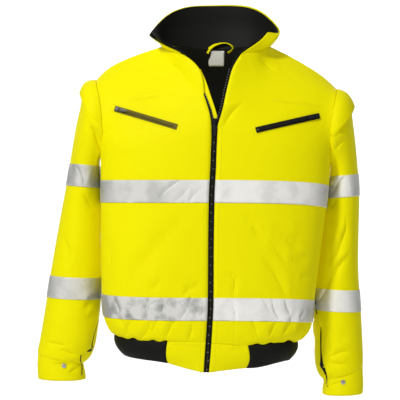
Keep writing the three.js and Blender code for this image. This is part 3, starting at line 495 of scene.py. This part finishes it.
def lay_on(thing, base, axis):
    """Moves a tape's two faces to just above the cloth it is sewn on."""
    bm = bmesh.new()
    bm.from_mesh(base.data)
    tree = BVHTree.FromBMesh(bm)
    bm.free()
    points = coordinates(thing.data)
    facing = (normals(thing.data) * outward(points, AXES[axis])).sum(1)
    out = outward(points, AXES[axis])
    for k, point in enumerate(points):
        probe = Vector(point + out[k] * 0.03)
        hit, normal, _, _ = tree.ray_cast(probe, Vector(-out[k]), 0.08)
        if hit is None:
            continue
        off = TAPE_OFF["far"] if facing[k] > 0 else TAPE_OFF["near"]
        points[k] = hit + normal * off * MM
    place(thing.data, points)


def tape(node, base, axis, rows):
    thing = smooth_copy(node, f"{node}_strip", 2)
    for narrower in REFINED[:2]:
        refine(thing, axis, rows, narrower)
    lay_on(thing, base, axis)
    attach(thing, "jacket")
    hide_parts(node)
    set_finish(thing, "reflective")
    cloth[node] = thing


for band in ("chest", "hem"):
    for side in SIDES:
        tape(f"tape_{band}_{side}", cloth[f"front_{side}"], "trunk", TRUNK_CREASES)
    tape(f"tape_{band}_back", cloth["back"], "trunk", TRUNK_CREASES)
for side in SIDES:
    for band in ("upper", "lower"):
        tape(f"tape_sleeve_{band}_{side}", cloth[f"sleeve_{side}"], side, SLEEVE_CREASES)


# Zip chains: a dark coil held between the two tapes, every so many teeth bright steel as painted glints

ZIP_LINE = [
    (-3.5, -133.4, -181), (-3.6, -134.6, -196), (-4.0, -135.8, -230), (-6.0, -136.8, -280),
    (-9.0, -136.8, -325), (-10.2, -136.8, -380), (-11.0, -136.8, -440), (-11.5, -136.0, -520),
    (-12.0, -134.8, -596), (-14.0, -133.8, -624), (-16.5, -130.2, -660), (-17.5, -126.8, -690),
    (-19.0, -126.0, -724),
]
TOOTH = {"pitch": 2.4, "wide": 2.6, "deep": 1.7, "high": 1.3}
PAINTED_GLINT_EVERY = 7


def along_line(points, pitch):
    """Evenly spaced points and directions along a smooth line given in mm."""
    pts = np.array(points) * MM
    run = np.concatenate([[0], np.cumsum(np.linalg.norm(np.diff(pts, axis=0), axis=1))])
    at = np.arange(0, run[-1], pitch * MM)
    where = np.stack([np.interp(at, run, pts[:, k]) for k in range(3)], 1)
    ahead = np.gradient(where, axis=0)
    return where, ahead / np.linalg.norm(ahead, axis=1)[:, None]


def blocks(name, rows):
    """One mesh of small bevelled blocks: each row is a centre, three half axes and a taper."""
    verts, faces = [], []
    for centre, a, b, c, taper in rows:
        base = len(verts)
        for level, size in ((-1, 1.0), (0.55, 1.0), (1, taper)):
            for u, v in ((-1, -1), (1, -1), (1, 1), (-1, 1)):
                verts.append(centre + size * (u * a + v * b) + level * c)
        for low in (0, 4):
            for k in range(4):
                n = (k + 1) % 4
                faces.append((base + low + k, base + low + n, base + low + 4 + n, base + low + 4 + k))
        faces.append((base + 3, base + 2, base + 1, base))
        faces.append((base + 8, base + 9, base + 10, base + 11))
    mesh = bpy.data.meshes.new(name)
    mesh.from_pydata([tuple(v) for v in verts], [], faces)
    thing = bpy.data.objects.new(name, mesh)
    bpy.context.scene.collection.objects.link(thing)
    return thing


def teeth(name, points, front, size=1.0, lean=0.55):
    """The teeth of a zip, by turns from the left and from the right."""
    where, ahead = along_line(points, TOOTH["pitch"] * size)
    rows = []
    for k, (point, way) in enumerate(zip(where, ahead)):
        out = np.array(front) - way * np.dot(front, way)
        out /= np.linalg.norm(out)
        aside = np.cross(out, way)
        side = lean * (1 if k % 2 else -1) * MM * size
        rows.append((point + aside * side, aside * TOOTH["wide"] / 2 * MM * size,
                     way * TOOTH["high"] / 2 * MM * size, out * TOOTH["deep"] / 2 * MM * size, 0.6))
    return blocks(name, rows)


def mixed_paint(thing, main, other, every, per_block=10):
    """Every so many blocks gets the second material: on the zips, bright steel as painted glints."""
    thing.data.materials.append(main)
    thing.data.materials.append(other)
    for face in thing.data.polygons:
        if (face.index // per_block) % every == 0:
            face.material_index = 1


FACING = (0.0, -1.0, 0.12)
teeth_with_painted_glints = {}


def run_line(node, pick, start, end, count, level):
    """Points along a CAD strip in mm: its front edge at each step along X or Z."""
    points = coordinates(frame["nodes"][node].data) / MM
    axis = 0 if pick == "middle" else 2
    line = []
    steps = np.linspace(start, end, count)
    reach = abs(end - start) / (count - 1) * 0.75
    for at in steps:
        near = points[np.abs(points[:, axis] - at) < reach]
        if not len(near):
            continue
        if pick == "middle":
            line.append((at, near[:, 1].min() - level, near[:, 2].mean()))
        else:
            edge = near[near[:, 0].argmin() if pick == "left" else near[:, 0].argmax()]
            line.append((edge[0], edge[1] - level, edge[2]))
    return line


POCKET_RUN = {"left": (-222, -90), "right": (93, 229)}
teeth_with_painted_glints["main_zip_teeth"] = teeth("main_zip_teeth", ZIP_LINE, FACING, 1.15)
for side in SIDES:
    line = run_line(f"pocket_zip_{side}", "middle", *POCKET_RUN[side], 9, 0.3)
    teeth_with_painted_glints[f"pocket_teeth_{side}"] = teeth(f"pocket_teeth_{side}", line, FACING, 1.0)
teeth_with_painted_glints["open_teeth_right"] = teeth(
    "open_teeth_right", run_line("zip_tape_right", "left", -48, -165, 7, 0.4), FACING, 0.9, 0.0)
teeth_with_painted_glints["open_teeth_left"] = teeth(
    "open_teeth_left", run_line("zip_tape_left", "right", -90, -165, 6, 0.4), FACING, 0.9, 0.0)


# Black lining seen in the slits above the cuffs, and a thin black strip along the right sleeve's inner edge: x, z, half
# width in mm on the sleeve

SLIVERS = {
    "slit_lining_right": ("right", [
        (245, -640, 0.5), (245, -662, 1.4), (245, -690, 1.2), (246, -716, 2.2), (247, -729, 4.0),
        (251, -737, 3.4), (257, -752, 1.5), (259, -764, 1.2), (260, -778, 1.6)]),
    "slit_lining_left": ("left", [
        (-272, -626, 0.3), (-280, -655, 0.5), (-286, -682, 0.8), (-285, -691, 1.8),
        (-290, -695, 2.6), (-296, -697, 1.0)]),
    "overlap_lining_left": ("left", [
        (-309, -703, 1.0), (-311, -718, 1.1), (-309, -736, 0.7), (-309, -752, 0.7)]),
    "edge_lining_right": ("right", [
        (233, -566, 0.8), (234, -580, 2.0), (235, -597, 1.2), (237, -612, 0.6)]),
}
SLIVER_OFF = {"front": 0.9, "back": 0.3}


def sliver(name, side, rows):
    """A narrow black strip laid on the sleeve, found by looking straight at it."""
    trees = []
    for node in (f"sleeve_{side}", f"cuff_{side}"):
        bm = bmesh.new()
        bm.from_mesh(cloth[node].data)
        trees.append(BVHTree.FromBMesh(bm))
        bm.free()
    path = smooth_rows(rows, 5)
    ahead = np.gradient(path[:, :2], axis=0)
    ahead /= np.linalg.norm(ahead, axis=1)[:, None]
    verts, faces = [], []
    for (x, z, half), (dx, dz) in zip(path, ahead):
        for edge in (-1, 1):
            at = np.array([x - edge * dz * half, -400, z + edge * dx * half]) * MM
            hits = [t.ray_cast(Vector(at), Vector((0, 1, 0)))[0] for t in trees]
            ys = [h.y for h in hits if h is not None]
            y = min(ys) if ys else verts[-1][1] + SLIVER_OFF["back"] * MM
            verts.append((at[0], y - SLIVER_OFF["front"] * MM, at[2]))
            verts.append((at[0], y - SLIVER_OFF["back"] * MM, at[2]))
    for k in range(len(path) - 1):
        a = 4 * k
        for j, n in ((0, 2), (2, 3), (3, 1), (1, 0)):
            faces.append((a + j, a + n, a + 4 + n, a + 4 + j))
    last = 4 * (len(path) - 1)
    faces += [(1, 3, 2, 0), (last, last + 2, last + 3, last + 1)]
    mesh = bpy.data.meshes.new(name)
    mesh.from_pydata([tuple(v) for v in verts], [], faces)
    thing = bpy.data.objects.new(name, mesh)
    bpy.context.scene.collection.objects.link(thing)
    return thing


slivers = {name: sliver(name, *facts) for name, facts in SLIVERS.items()}


# Sewing: rows of short stitches laid on the cloth

STITCH = {"pitch": 3.4, "long": 1.15, "wide": 0.26, "high": 0.22}


def tree_of(*things):
    bm = bmesh.new()
    for thing in things:
        bm.from_mesh(thing.data)
    tree = BVHTree.FromBMesh(bm)
    bm.free()
    return tree


def stitch_rows(name, paths, looks):
    """Each path is a list of places on the cloth with the way out of it, in metres."""
    rows = []
    for spots in paths:
        pts = np.array([p for p, _ in spots])
        outs = np.array([n for _, n in spots])
        run = np.concatenate([[0], np.cumsum(np.linalg.norm(np.diff(pts, axis=0), axis=1))])
        at = np.arange(0, run[-1], STITCH["pitch"] * MM)
        where = np.stack([np.interp(at, run, pts[:, k]) for k in range(3)], 1)
        out = np.stack([np.interp(at, run, outs[:, k]) for k in range(3)], 1)
        ahead = np.gradient(where, axis=0)
        for point, way, up in zip(where, ahead, out):
            way = way / np.linalg.norm(way)
            up = up - way * np.dot(up, way)
            up /= np.linalg.norm(up)
            rows.append((point, np.cross(up, way) * STITCH["wide"] * MM,
                         way * STITCH["long"] * MM, up * STITCH["high"] * MM, 0.6))
    thing = blocks(name, rows)
    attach(thing, "jacket")
    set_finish(thing, looks)
    return thing


def round_edge(thing, axis, inside, turns=720):
    """Two paths just inside the upper and lower edge of a tape."""
    tree = tree_of(thing)
    points = coordinates(thing.data)
    top, low = (np.array(p) * MM for p in AXES[axis])

    def centre(z):
        share = (z - top[2]) / (low[2] - top[2])
        return top + (low - top) * share

    middle = centre(points[:, 2].mean())
    angle = np.arctan2(points[:, 0] - middle[0], middle[1] - points[:, 1])
    bins = np.floor((angle + math.pi) / (2 * math.pi) * 90).astype(int).clip(0, 89)
    high = np.full(90, np.nan)
    deep = np.full(90, np.nan)
    for b in np.unique(bins):
        high[b] = points[bins == b, 2].max() - inside * MM
        deep[b] = points[bins == b, 2].min() + inside * MM
    paths = []
    for edge in (high, deep):
        path = []
        for k in range(turns + 1):
            a = -math.pi + 2 * math.pi * k / turns
            b = (k / turns * 90 - 0.5)
            i, j = int(math.floor(b)) % 90, int(math.floor(b) + 1) % 90
            z = edge[i] + (edge[j] - edge[i]) * (b - math.floor(b))
            hit = None
            if not np.isnan(z):
                way = Vector((math.sin(a), -math.cos(a), 0))
                origin = Vector(centre(z)) + way * 0.5
                hit, normal, _, _ = tree.ray_cast(origin, -way, 0.5)
            if hit is not None:
                path.append((np.array(hit), np.array(normal)))
            elif len(path) > 8:
                paths.append(path)
                path = []
            else:
                path = []
        if len(path) > 8:
            paths.append(path)
    return paths


def seen_line(things, rows, step=2.0):
    """A path given by (x, z) in mm, found on the cloth by looking straight at the front."""
    tree = tree_of(*things)
    pts = np.array(rows, float)
    run = np.concatenate([[0], np.cumsum(np.linalg.norm(np.diff(pts, axis=0), axis=1))])
    path = []
    for at in np.arange(0, run[-1], step):
        x, z = (np.interp(at, run, pts[:, k]) * MM for k in range(2))
        hit, normal, _, _ = tree.ray_cast(Vector((x, -0.5, z)), Vector((0, 1, 0)))
        if hit is not None:
            path.append((np.array(hit), np.array(normal)))
    return path


tape_paths = []
for node, thing in cloth.items():
    if node.startswith("tape_"):
        axis = node.rsplit("_", 1)[1] if "sleeve" in node else "trunk"
        tape_paths += round_edge(thing, axis, 2.5)
sewn = {"tape_stitches": stitch_rows("tape_stitches", tape_paths, "reflective")}
ZIP_SEWN = {"left": -17, "right": 16.5}
both_fronts = [cloth[f"{n}_{s}"] for n in ("front", "hem_panel") for s in SIDES]
cloth_paths = [
    seen_line(both_fronts, [(x + off, z) for x, _, z in ZIP_LINE])
    for off in ZIP_SEWN.values()
]
POCKET_FRAMES = {
    "left": [(-233, -130), (-80, -182), (-80, -199), (-236, -146), (-233, -130)],
    "right": [(84, -190), (236, -146), (240, -162), (84, -205), (84, -190)],
}
for side in SIDES:
    cloth_paths.append(seen_line([cloth[f"front_{side}"]], POCKET_FRAMES[side]))
for x0, z0, x1, z1, *_ in TRUNK_SEAMS:
    for drop in (-2.2, -6.0):
        cloth_paths.append(seen_line(both_fronts, [(x0, z0 + drop), (x1, z1 + drop)]))
sewn["cloth_stitches"] = stitch_rows(
    "cloth_stitches", [p for p in cloth_paths if len(p) > 4], "hi_vis")


# Each sheet's cut: width, length and flat area, and what it hangs from or lies on

CUTS = {
    "front": (0.345, 0.715, 0.203, "hung", "collar_outer"),
    "back": (0.675, 0.725, 0.431, "hung", "collar_outer"),
    "sleeve": (0.425, 0.660, 0.232, "hung", "armhole"),
    "cuff": (0.350, 0.062, 0.0165, "hung", "sleeve"),
    "hem_panel": (0.087, 0.070, 0.0055, "hung", "front"),
    "armhole_cover": (0.262, 0.095, 0.0142, "hung", "front"),
    "collar_outer": (0.460, 0.122, 0.0428, "stretched", "back"),
    "collar_lining": (0.450, 0.115, 0.0399, "stretched", "collar_outer"),
    "back_lining": (0.655, 0.630, 0.374, "hung", "collar_lining"),
    "rib_hem": (0.935, 0.070, 0.0529, "gathered", "back"),
    "storm_flap": (0.035, 0.680, 0.0216, "hung", "front_left"),
    "neck_label": (0.043, 0.038, 0.0016, "hung", "back_lining"),
    "hanger_loop": (0.0102, 0.090, 0.00085, "hung", "collar_lining"),
    "tape_chest": (0.343, 0.051, 0.0171, "laid", "front"),
    "tape_hem": (0.328, 0.051, 0.0164, "laid", "front"),
    "tape_chest_back": (0.672, 0.051, 0.0340, "laid", "back"),
    "tape_hem_back": (0.654, 0.051, 0.0332, "laid", "back"),
    "tape_sleeve": (0.415, 0.051, 0.0205, "laid", "sleeve"),
}


def cut_of(node):
    """The cut of a piece, and the side of the jacket it is on."""
    side = next((s for s in SIDES if node.endswith("_" + s)), None)
    key = node.replace(f"_{side}", "").replace("_upper", "").replace("_lower", "")
    return CUTS[key], side


for node, thing in cloth.items():
    (wide, long, area, held, under), side = cut_of(node)
    if under == "armhole":
        under = "armhole_cover"


# Materials

def material(name):
    made = bpy.data.materials.new(name)
    made.use_nodes = True
    tree = made.node_tree
    return made, tree, tree.nodes["Principled BSDF"]


def node_of(tree, kind, **inputs):
    made = tree.nodes.new(kind)
    for key, value in inputs.items():
        made.inputs[key.replace("_", " ")].default_value = value
    return made


def noise(tree, where, scale, detail=2.0, rough=0.5):
    made = node_of(tree, "ShaderNodeTexNoise", Scale=scale, Detail=detail, Roughness=rough)
    tree.links.new(where, made.inputs["Vector"])
    return made.outputs["Fac"]


def wrinkles(tree, where, scale, turn, stretch):
    """Long, uneven folds: ridged noise, drawn out along one direction."""
    mapping = tree.nodes.new("ShaderNodeMapping")
    mapping.inputs["Rotation"].default_value = (0, turn, 0)
    mapping.inputs["Scale"].default_value = (1, 1, stretch)
    tree.links.new(where, mapping.inputs["Vector"])
    made = node_of(tree, "ShaderNodeTexNoise", Scale=scale, Detail=2.0, Roughness=0.45,
                   Distortion=0.6)
    made.noise_type = "RIDGED_MULTIFRACTAL"
    made.normalize = True
    tree.links.new(mapping.outputs["Vector"], made.inputs["Vector"])
    return made.outputs["Fac"]


def two_tone(tree, factor, low, high):
    ramp = tree.nodes.new("ShaderNodeMix")
    ramp.data_type = "RGBA"
    ramp.inputs[6].default_value = (*low, 1)
    ramp.inputs[7].default_value = (*high, 1)
    tree.links.new(factor, ramp.inputs[0])
    return ramp.outputs[2]


def weave(tree, where, pitch):
    """Plain weave: two sets of threads at right angles."""
    sums = []
    for direction in ("X", "Z"):
        wave = node_of(tree, "ShaderNodeTexWave", Scale=1 / pitch / 20 * math.pi, Distortion=0.0)
        wave.bands_direction = direction
        tree.links.new(where, wave.inputs["Vector"])
        sums.append(wave.outputs["Fac"])
    both = tree.nodes.new("ShaderNodeMath")
    both.operation = "MULTIPLY"
    tree.links.new(sums[0], both.inputs[0])
    tree.links.new(sums[1], both.inputs[1])
    return both.outputs[0]


def bump(tree, height, distance, strength, under=None):
    made = node_of(tree, "ShaderNodeBump", Strength=strength, Distance=distance)
    tree.links.new(height, made.inputs["Height"])
    if under is not None:
        tree.links.new(under, made.inputs["Normal"])
    return made.outputs["Normal"]


FOLDS = ((6.0, 0.7, 0.45, 3.0), (11.0, -0.5, 0.6, 1.3))


def fabric(name, low, high, rough, pitch, sheen, wrinkle, gloss, glow=0.0):
    made, tree, shader = material(name)
    where = tree.nodes.new("ShaderNodeTexCoord").outputs["Object"]
    tree.links.new(two_tone(tree, noise(tree, where, 9.0, 3.0), low, high),
                   shader.inputs["Base Color"])
    shader.inputs["Roughness"].default_value = rough
    shader.inputs["Sheen Weight"].default_value = sheen
    shader.inputs["Sheen Tint"].default_value = (*high, 1)
    shader.inputs["Specular IOR Level"].default_value = gloss
    soft = bump(tree, noise(tree, where, 38.0, 4.0, 0.55), wrinkle, 0.35)
    for scale, turn, stretch, deep in FOLDS:
        soft = bump(tree, wrinkles(tree, where, scale, turn, stretch), deep * wrinkle, 0.4, soft)
    shader_normal = bump(tree, weave(tree, where, pitch), 0.0002, 0.3, soft)
    tree.links.new(shader_normal, shader.inputs["Normal"])
    # Painted light: the cloth glows faintly in its own colour, which lifts its shade though it is no lamp.
    if glow:
        shader.inputs["Emission Color"].default_value = (*high, 1)
        shader.inputs["Emission Strength"].default_value = glow
    return made


def reflective_look(name, facet_shade_weight):
    """Silver tape: greyer towards the left, with painted shade in the facets where it is crinkled and painted shade
    where its face turns sideways.
    """
    made, tree, shader = material(name)
    where = tree.nodes.new("ShaderNodeTexCoord").outputs["Object"]
    split = tree.nodes.new("ShaderNodeSeparateXYZ")
    tree.links.new(where, split.inputs[0])
    # The tape turns greyer towards the left.
    left = tree.nodes.new("ShaderNodeMapRange")
    left.interpolation_type = "SMOOTHSTEP"
    for key, value in LEFTWARD_GREY.items():
        left.inputs[key].default_value = value
    tree.links.new(split.outputs["X"], left.inputs["Value"])
    facets = wrinkles(tree, where, 17.0, 0.6, 0.5)
    fine = noise(tree, where, 30.0, 3.0, 0.6)
    both = tree.nodes.new("ShaderNodeMath")
    both.operation = "MULTIPLY_ADD"
    both.inputs[1].default_value = 0.75
    tree.links.new(facets, both.inputs[0])
    tree.links.new(fine, both.inputs[2])
    # Painted shade: the crinkles' facets are darkened in the tape's colour.
    sharp = tree.nodes.new("ShaderNodeMapRange")
    for key, value in FACET_SHADE.items():
        sharp.inputs[key].default_value = value
    tree.links.new(both.outputs[0], sharp.inputs["Value"])
    share = tree.nodes.new("ShaderNodeMath")
    share.operation = "MULTIPLY_ADD"
    share.inputs[1].default_value = facet_shade_weight
    tree.links.new(sharp.outputs["Result"], share.inputs[0])
    # Painted shade: the tape is darker where its face turns sideways, read from its normal.
    faces = tree.nodes.new("ShaderNodeSeparateXYZ")
    tree.links.new(tree.nodes.new("ShaderNodeTexCoord").outputs["Normal"], faces.inputs[0])
    aside = tree.nodes.new("ShaderNodeMath")
    aside.operation = "ABSOLUTE"
    tree.links.new(faces.outputs["X"], aside.inputs[0])
    side_shade = tree.nodes.new("ShaderNodeMapRange")
    for key, value in TAPE_SIDE_SHADE.items():
        side_shade.inputs[key].default_value = value
    tree.links.new(aside.outputs[0], side_shade.inputs["Value"])
    grey = tree.nodes.new("ShaderNodeMath")
    tree.links.new(left.outputs["Result"], grey.inputs[0])
    tree.links.new(side_shade.outputs["Result"], grey.inputs[1])
    tree.links.new(grey.outputs[0], share.inputs[2])
    tree.links.new(two_tone(tree, share.outputs[0], TAPE_LIGHT, TAPE_GREY_AND_SHADE),
                   shader.inputs["Base Color"])
    shader.inputs["Roughness"].default_value = 0.4
    shader.inputs["Specular IOR Level"].default_value = 0.35
    soft = bump(tree, facets, 0.006, 0.35)
    soft = bump(tree, fine, 0.002, 0.3, soft)
    tree.links.new(bump(tree, weave(tree, where, 0.0006), 0.00015, 0.3, soft),
                   shader.inputs["Normal"])
    return made


# Tape colour: it moves towards the darker tone by greying to the left, by painted shade where the tape turns sideways,
# and by painted shade in the crinkles' facets.
LEFTWARD_GREY = {"From Min": -0.12, "From Max": 0.04, "To Min": 0.38, "To Max": 0.0}
TAPE_SIDE_SHADE = {"From Min": 0.45, "From Max": 0.9, "To Min": 0.0, "To Max": 0.45}
TAPE_LIGHT, TAPE_GREY_AND_SHADE = (1.0, 0.99, 0.94), (0.36, 0.36, 0.34)
FACET_SHADE = {"From Min": 0.50, "From Max": 0.78, "To Min": 0.0, "To Max": 1.0}
hi_vis = fabric("hi_vis_cloth", (0.90, 0.83, 0.0), (0.95, 0.87, 0.0), 0.6, 0.0009, 0.1, 0.0018, 0.06, 0.07)
black = fabric("black_lining", (0.006, 0.006, 0.005), (0.012, 0.012, 0.010), 0.6, 0.0008, 0.05, 0.003, 0.12)
# The number is the share of painted shade in the crinkles' facets; the crinkled tape gets more.
silver = reflective_look("reflective_tape", 0.22)
crinkled = reflective_look("reflective_tape_crinkled", 0.75)
white = fabric("label_cloth", (0.88, 0.88, 0.86), (0.96, 0.96, 0.94), 0.8, 0.0006, 0.0, 0.0003, 0.1)
zip_cloth = fabric("zip_cloth", (0.004, 0.004, 0.004), (0.010, 0.010, 0.009), 0.7, 0.0012, 0.0, 0.0003, 0.2)
worn_zip = fabric("worn_zip_cloth", (0.12, 0.10, 0.012), (0.20, 0.17, 0.03), 0.7, 0.0012, 0.0, 0.0003, 0.1)
thread_grey = fabric("thread_grey", (0.85, 0.85, 0.80), (0.95, 0.95, 0.90), 0.7, 0.0004, 0.0, 0.0002, 0.1)
thread_yellow = fabric("thread_yellow", (0.62, 0.57, 0.01), (0.74, 0.68, 0.01), 0.7, 0.0004, 0.0, 0.0002, 0.1)
CLOTH_LOOKS = {"tape_hem_left": crinkled}
NODE_LOOKS = {"pocket_zip_left": worn_zip}
SLOT_LOOKS = {"hi_vis": hi_vis, "black_cloth": black, "reflective": silver,
              "label_white": white, "zip_black": zip_cloth}


def metal(name, colour, rough):
    made, tree, shader = material(name)
    where = tree.nodes.new("ShaderNodeTexCoord").outputs["Object"]
    darker = tuple(0.7 * c for c in colour)
    tree.links.new(two_tone(tree, noise(tree, where, 400.0, 3.0), darker, colour),
                   shader.inputs["Base Color"])
    shader.inputs["Metallic"].default_value = 0.9
    shader.inputs["Roughness"].default_value = rough
    tree.links.new(bump(tree, noise(tree, where, 900.0, 2.0), 0.0001, 0.3), shader.inputs["Normal"])
    return made


SLOT_LOOKS["zip_metal"] = metal("zip_enamel", (0.05, 0.05, 0.055), 0.35)
SLOT_LOOKS["snap_metal"] = metal("snap_steel", (0.7, 0.7, 0.66), 0.28)


def paint(thing, look):
    thing.data.materials.clear()
    thing.data.materials.append(look)


for node, thing in cloth.items():
    paint(thing, CLOTH_LOOKS.get(node, SLOT_LOOKS[thing["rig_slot"]]))
paint(sewn["tape_stitches"], thread_grey)
paint(sewn["cloth_stitches"], thread_yellow)
for name, thing in slivers.items():
    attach(thing, "jacket")
    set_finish(thing, "black_cloth")
    paint(thing, black)
# Painted highlight: every so many teeth are bright steel, standing in for glints.
for name, thing in teeth_with_painted_glints.items():
    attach(thing, "jacket")
    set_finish(thing, "zip_black")
    main = worn_zip if name == "pocket_teeth_left" else SLOT_LOOKS["zip_metal"]
    mixed_paint(thing, main, SLOT_LOOKS["snap_metal"], 3 if "open" in name else 60 if "pocket" in name else PAINTED_GLINT_EVERY)
node_slots = {s["node"]: s["material_slot"] for s in frame["record"]["subparts"]}
for name, thing in frame["nodes"].items():
    for k in range(len(thing.material_slots)):
        thing.material_slots[k].material = NODE_LOOKS.get(name, SLOT_LOOKS[node_slots[name]])

# Stage and light

STAGE_HALF = 9.0
FLOOR_AT = -1.35
WALL_AT = 6.0


def stage():
    bend = 1.2
    profile = [(-STAGE_HALF, FLOOR_AT)]
    for k in range(13):
        angle = math.pi / 2 * k / 12
        profile.append((WALL_AT - bend + bend * math.sin(angle),
                        FLOOR_AT + bend - bend * math.cos(angle)))
    profile.append((WALL_AT, STAGE_HALF))
    points = [(x, y, z) for y, z in profile for x in (-STAGE_HALF, STAGE_HALF)]
    faces = [(2 * k, 2 * k + 1, 2 * k + 3, 2 * k + 2) for k in range(len(profile) - 1)]
    mesh = bpy.data.meshes.new("floor")
    mesh.from_pydata(points, [], faces)
    mesh.shade_smooth()
    thing = bpy.data.objects.new("floor", mesh)
    bpy.context.scene.collection.objects.link(thing)
    made, _, shader = material("floor_white")
    shader.inputs["Base Color"].default_value = (0.9, 0.9, 0.9, 1)
    shader.inputs["Roughness"].default_value = 0.9
    mesh.materials.append(made)


def area_light(name, place_at, aim, size, power):
    data = bpy.data.lights.new(name, "AREA")
    data.shape = "RECTANGLE"
    data.size, data.size_y = size
    data.energy = power
    thing = bpy.data.objects.new(name, data)
    thing.location = place_at
    direction = Vector(aim) - Vector(place_at)
    thing.rotation_euler = direction.to_track_quat("-Z", "Y").to_euler()
    bpy.context.scene.collection.objects.link(thing)


stage()
area_light("key", (-1.7, -2.7, 1.9), (0, 0, -0.35), (0.6, 0.6), 89)
area_light("fill", (2.2, -3.2, 0.4), (0, 0, -0.4), (2.0, 2.4), 9)
area_light("top", (0, 0.2, 2.6), (0, 0, -0.4), (3.0, 3.0), 12)
area_light("wall", (0, 3.6, 3.0), (0, 6.0, -0.3), (7.0, 1.5), 230)
world = bpy.data.worlds.new("world")
world.use_nodes = True
world.node_tree.nodes["Background"].inputs["Color"].default_value = (1, 1, 1, 1)
world.node_tree.nodes["Background"].inputs["Strength"].default_value = 0.22
bpy.context.scene.world = world
bpy.context.scene.view_settings.view_transform = "Standard"
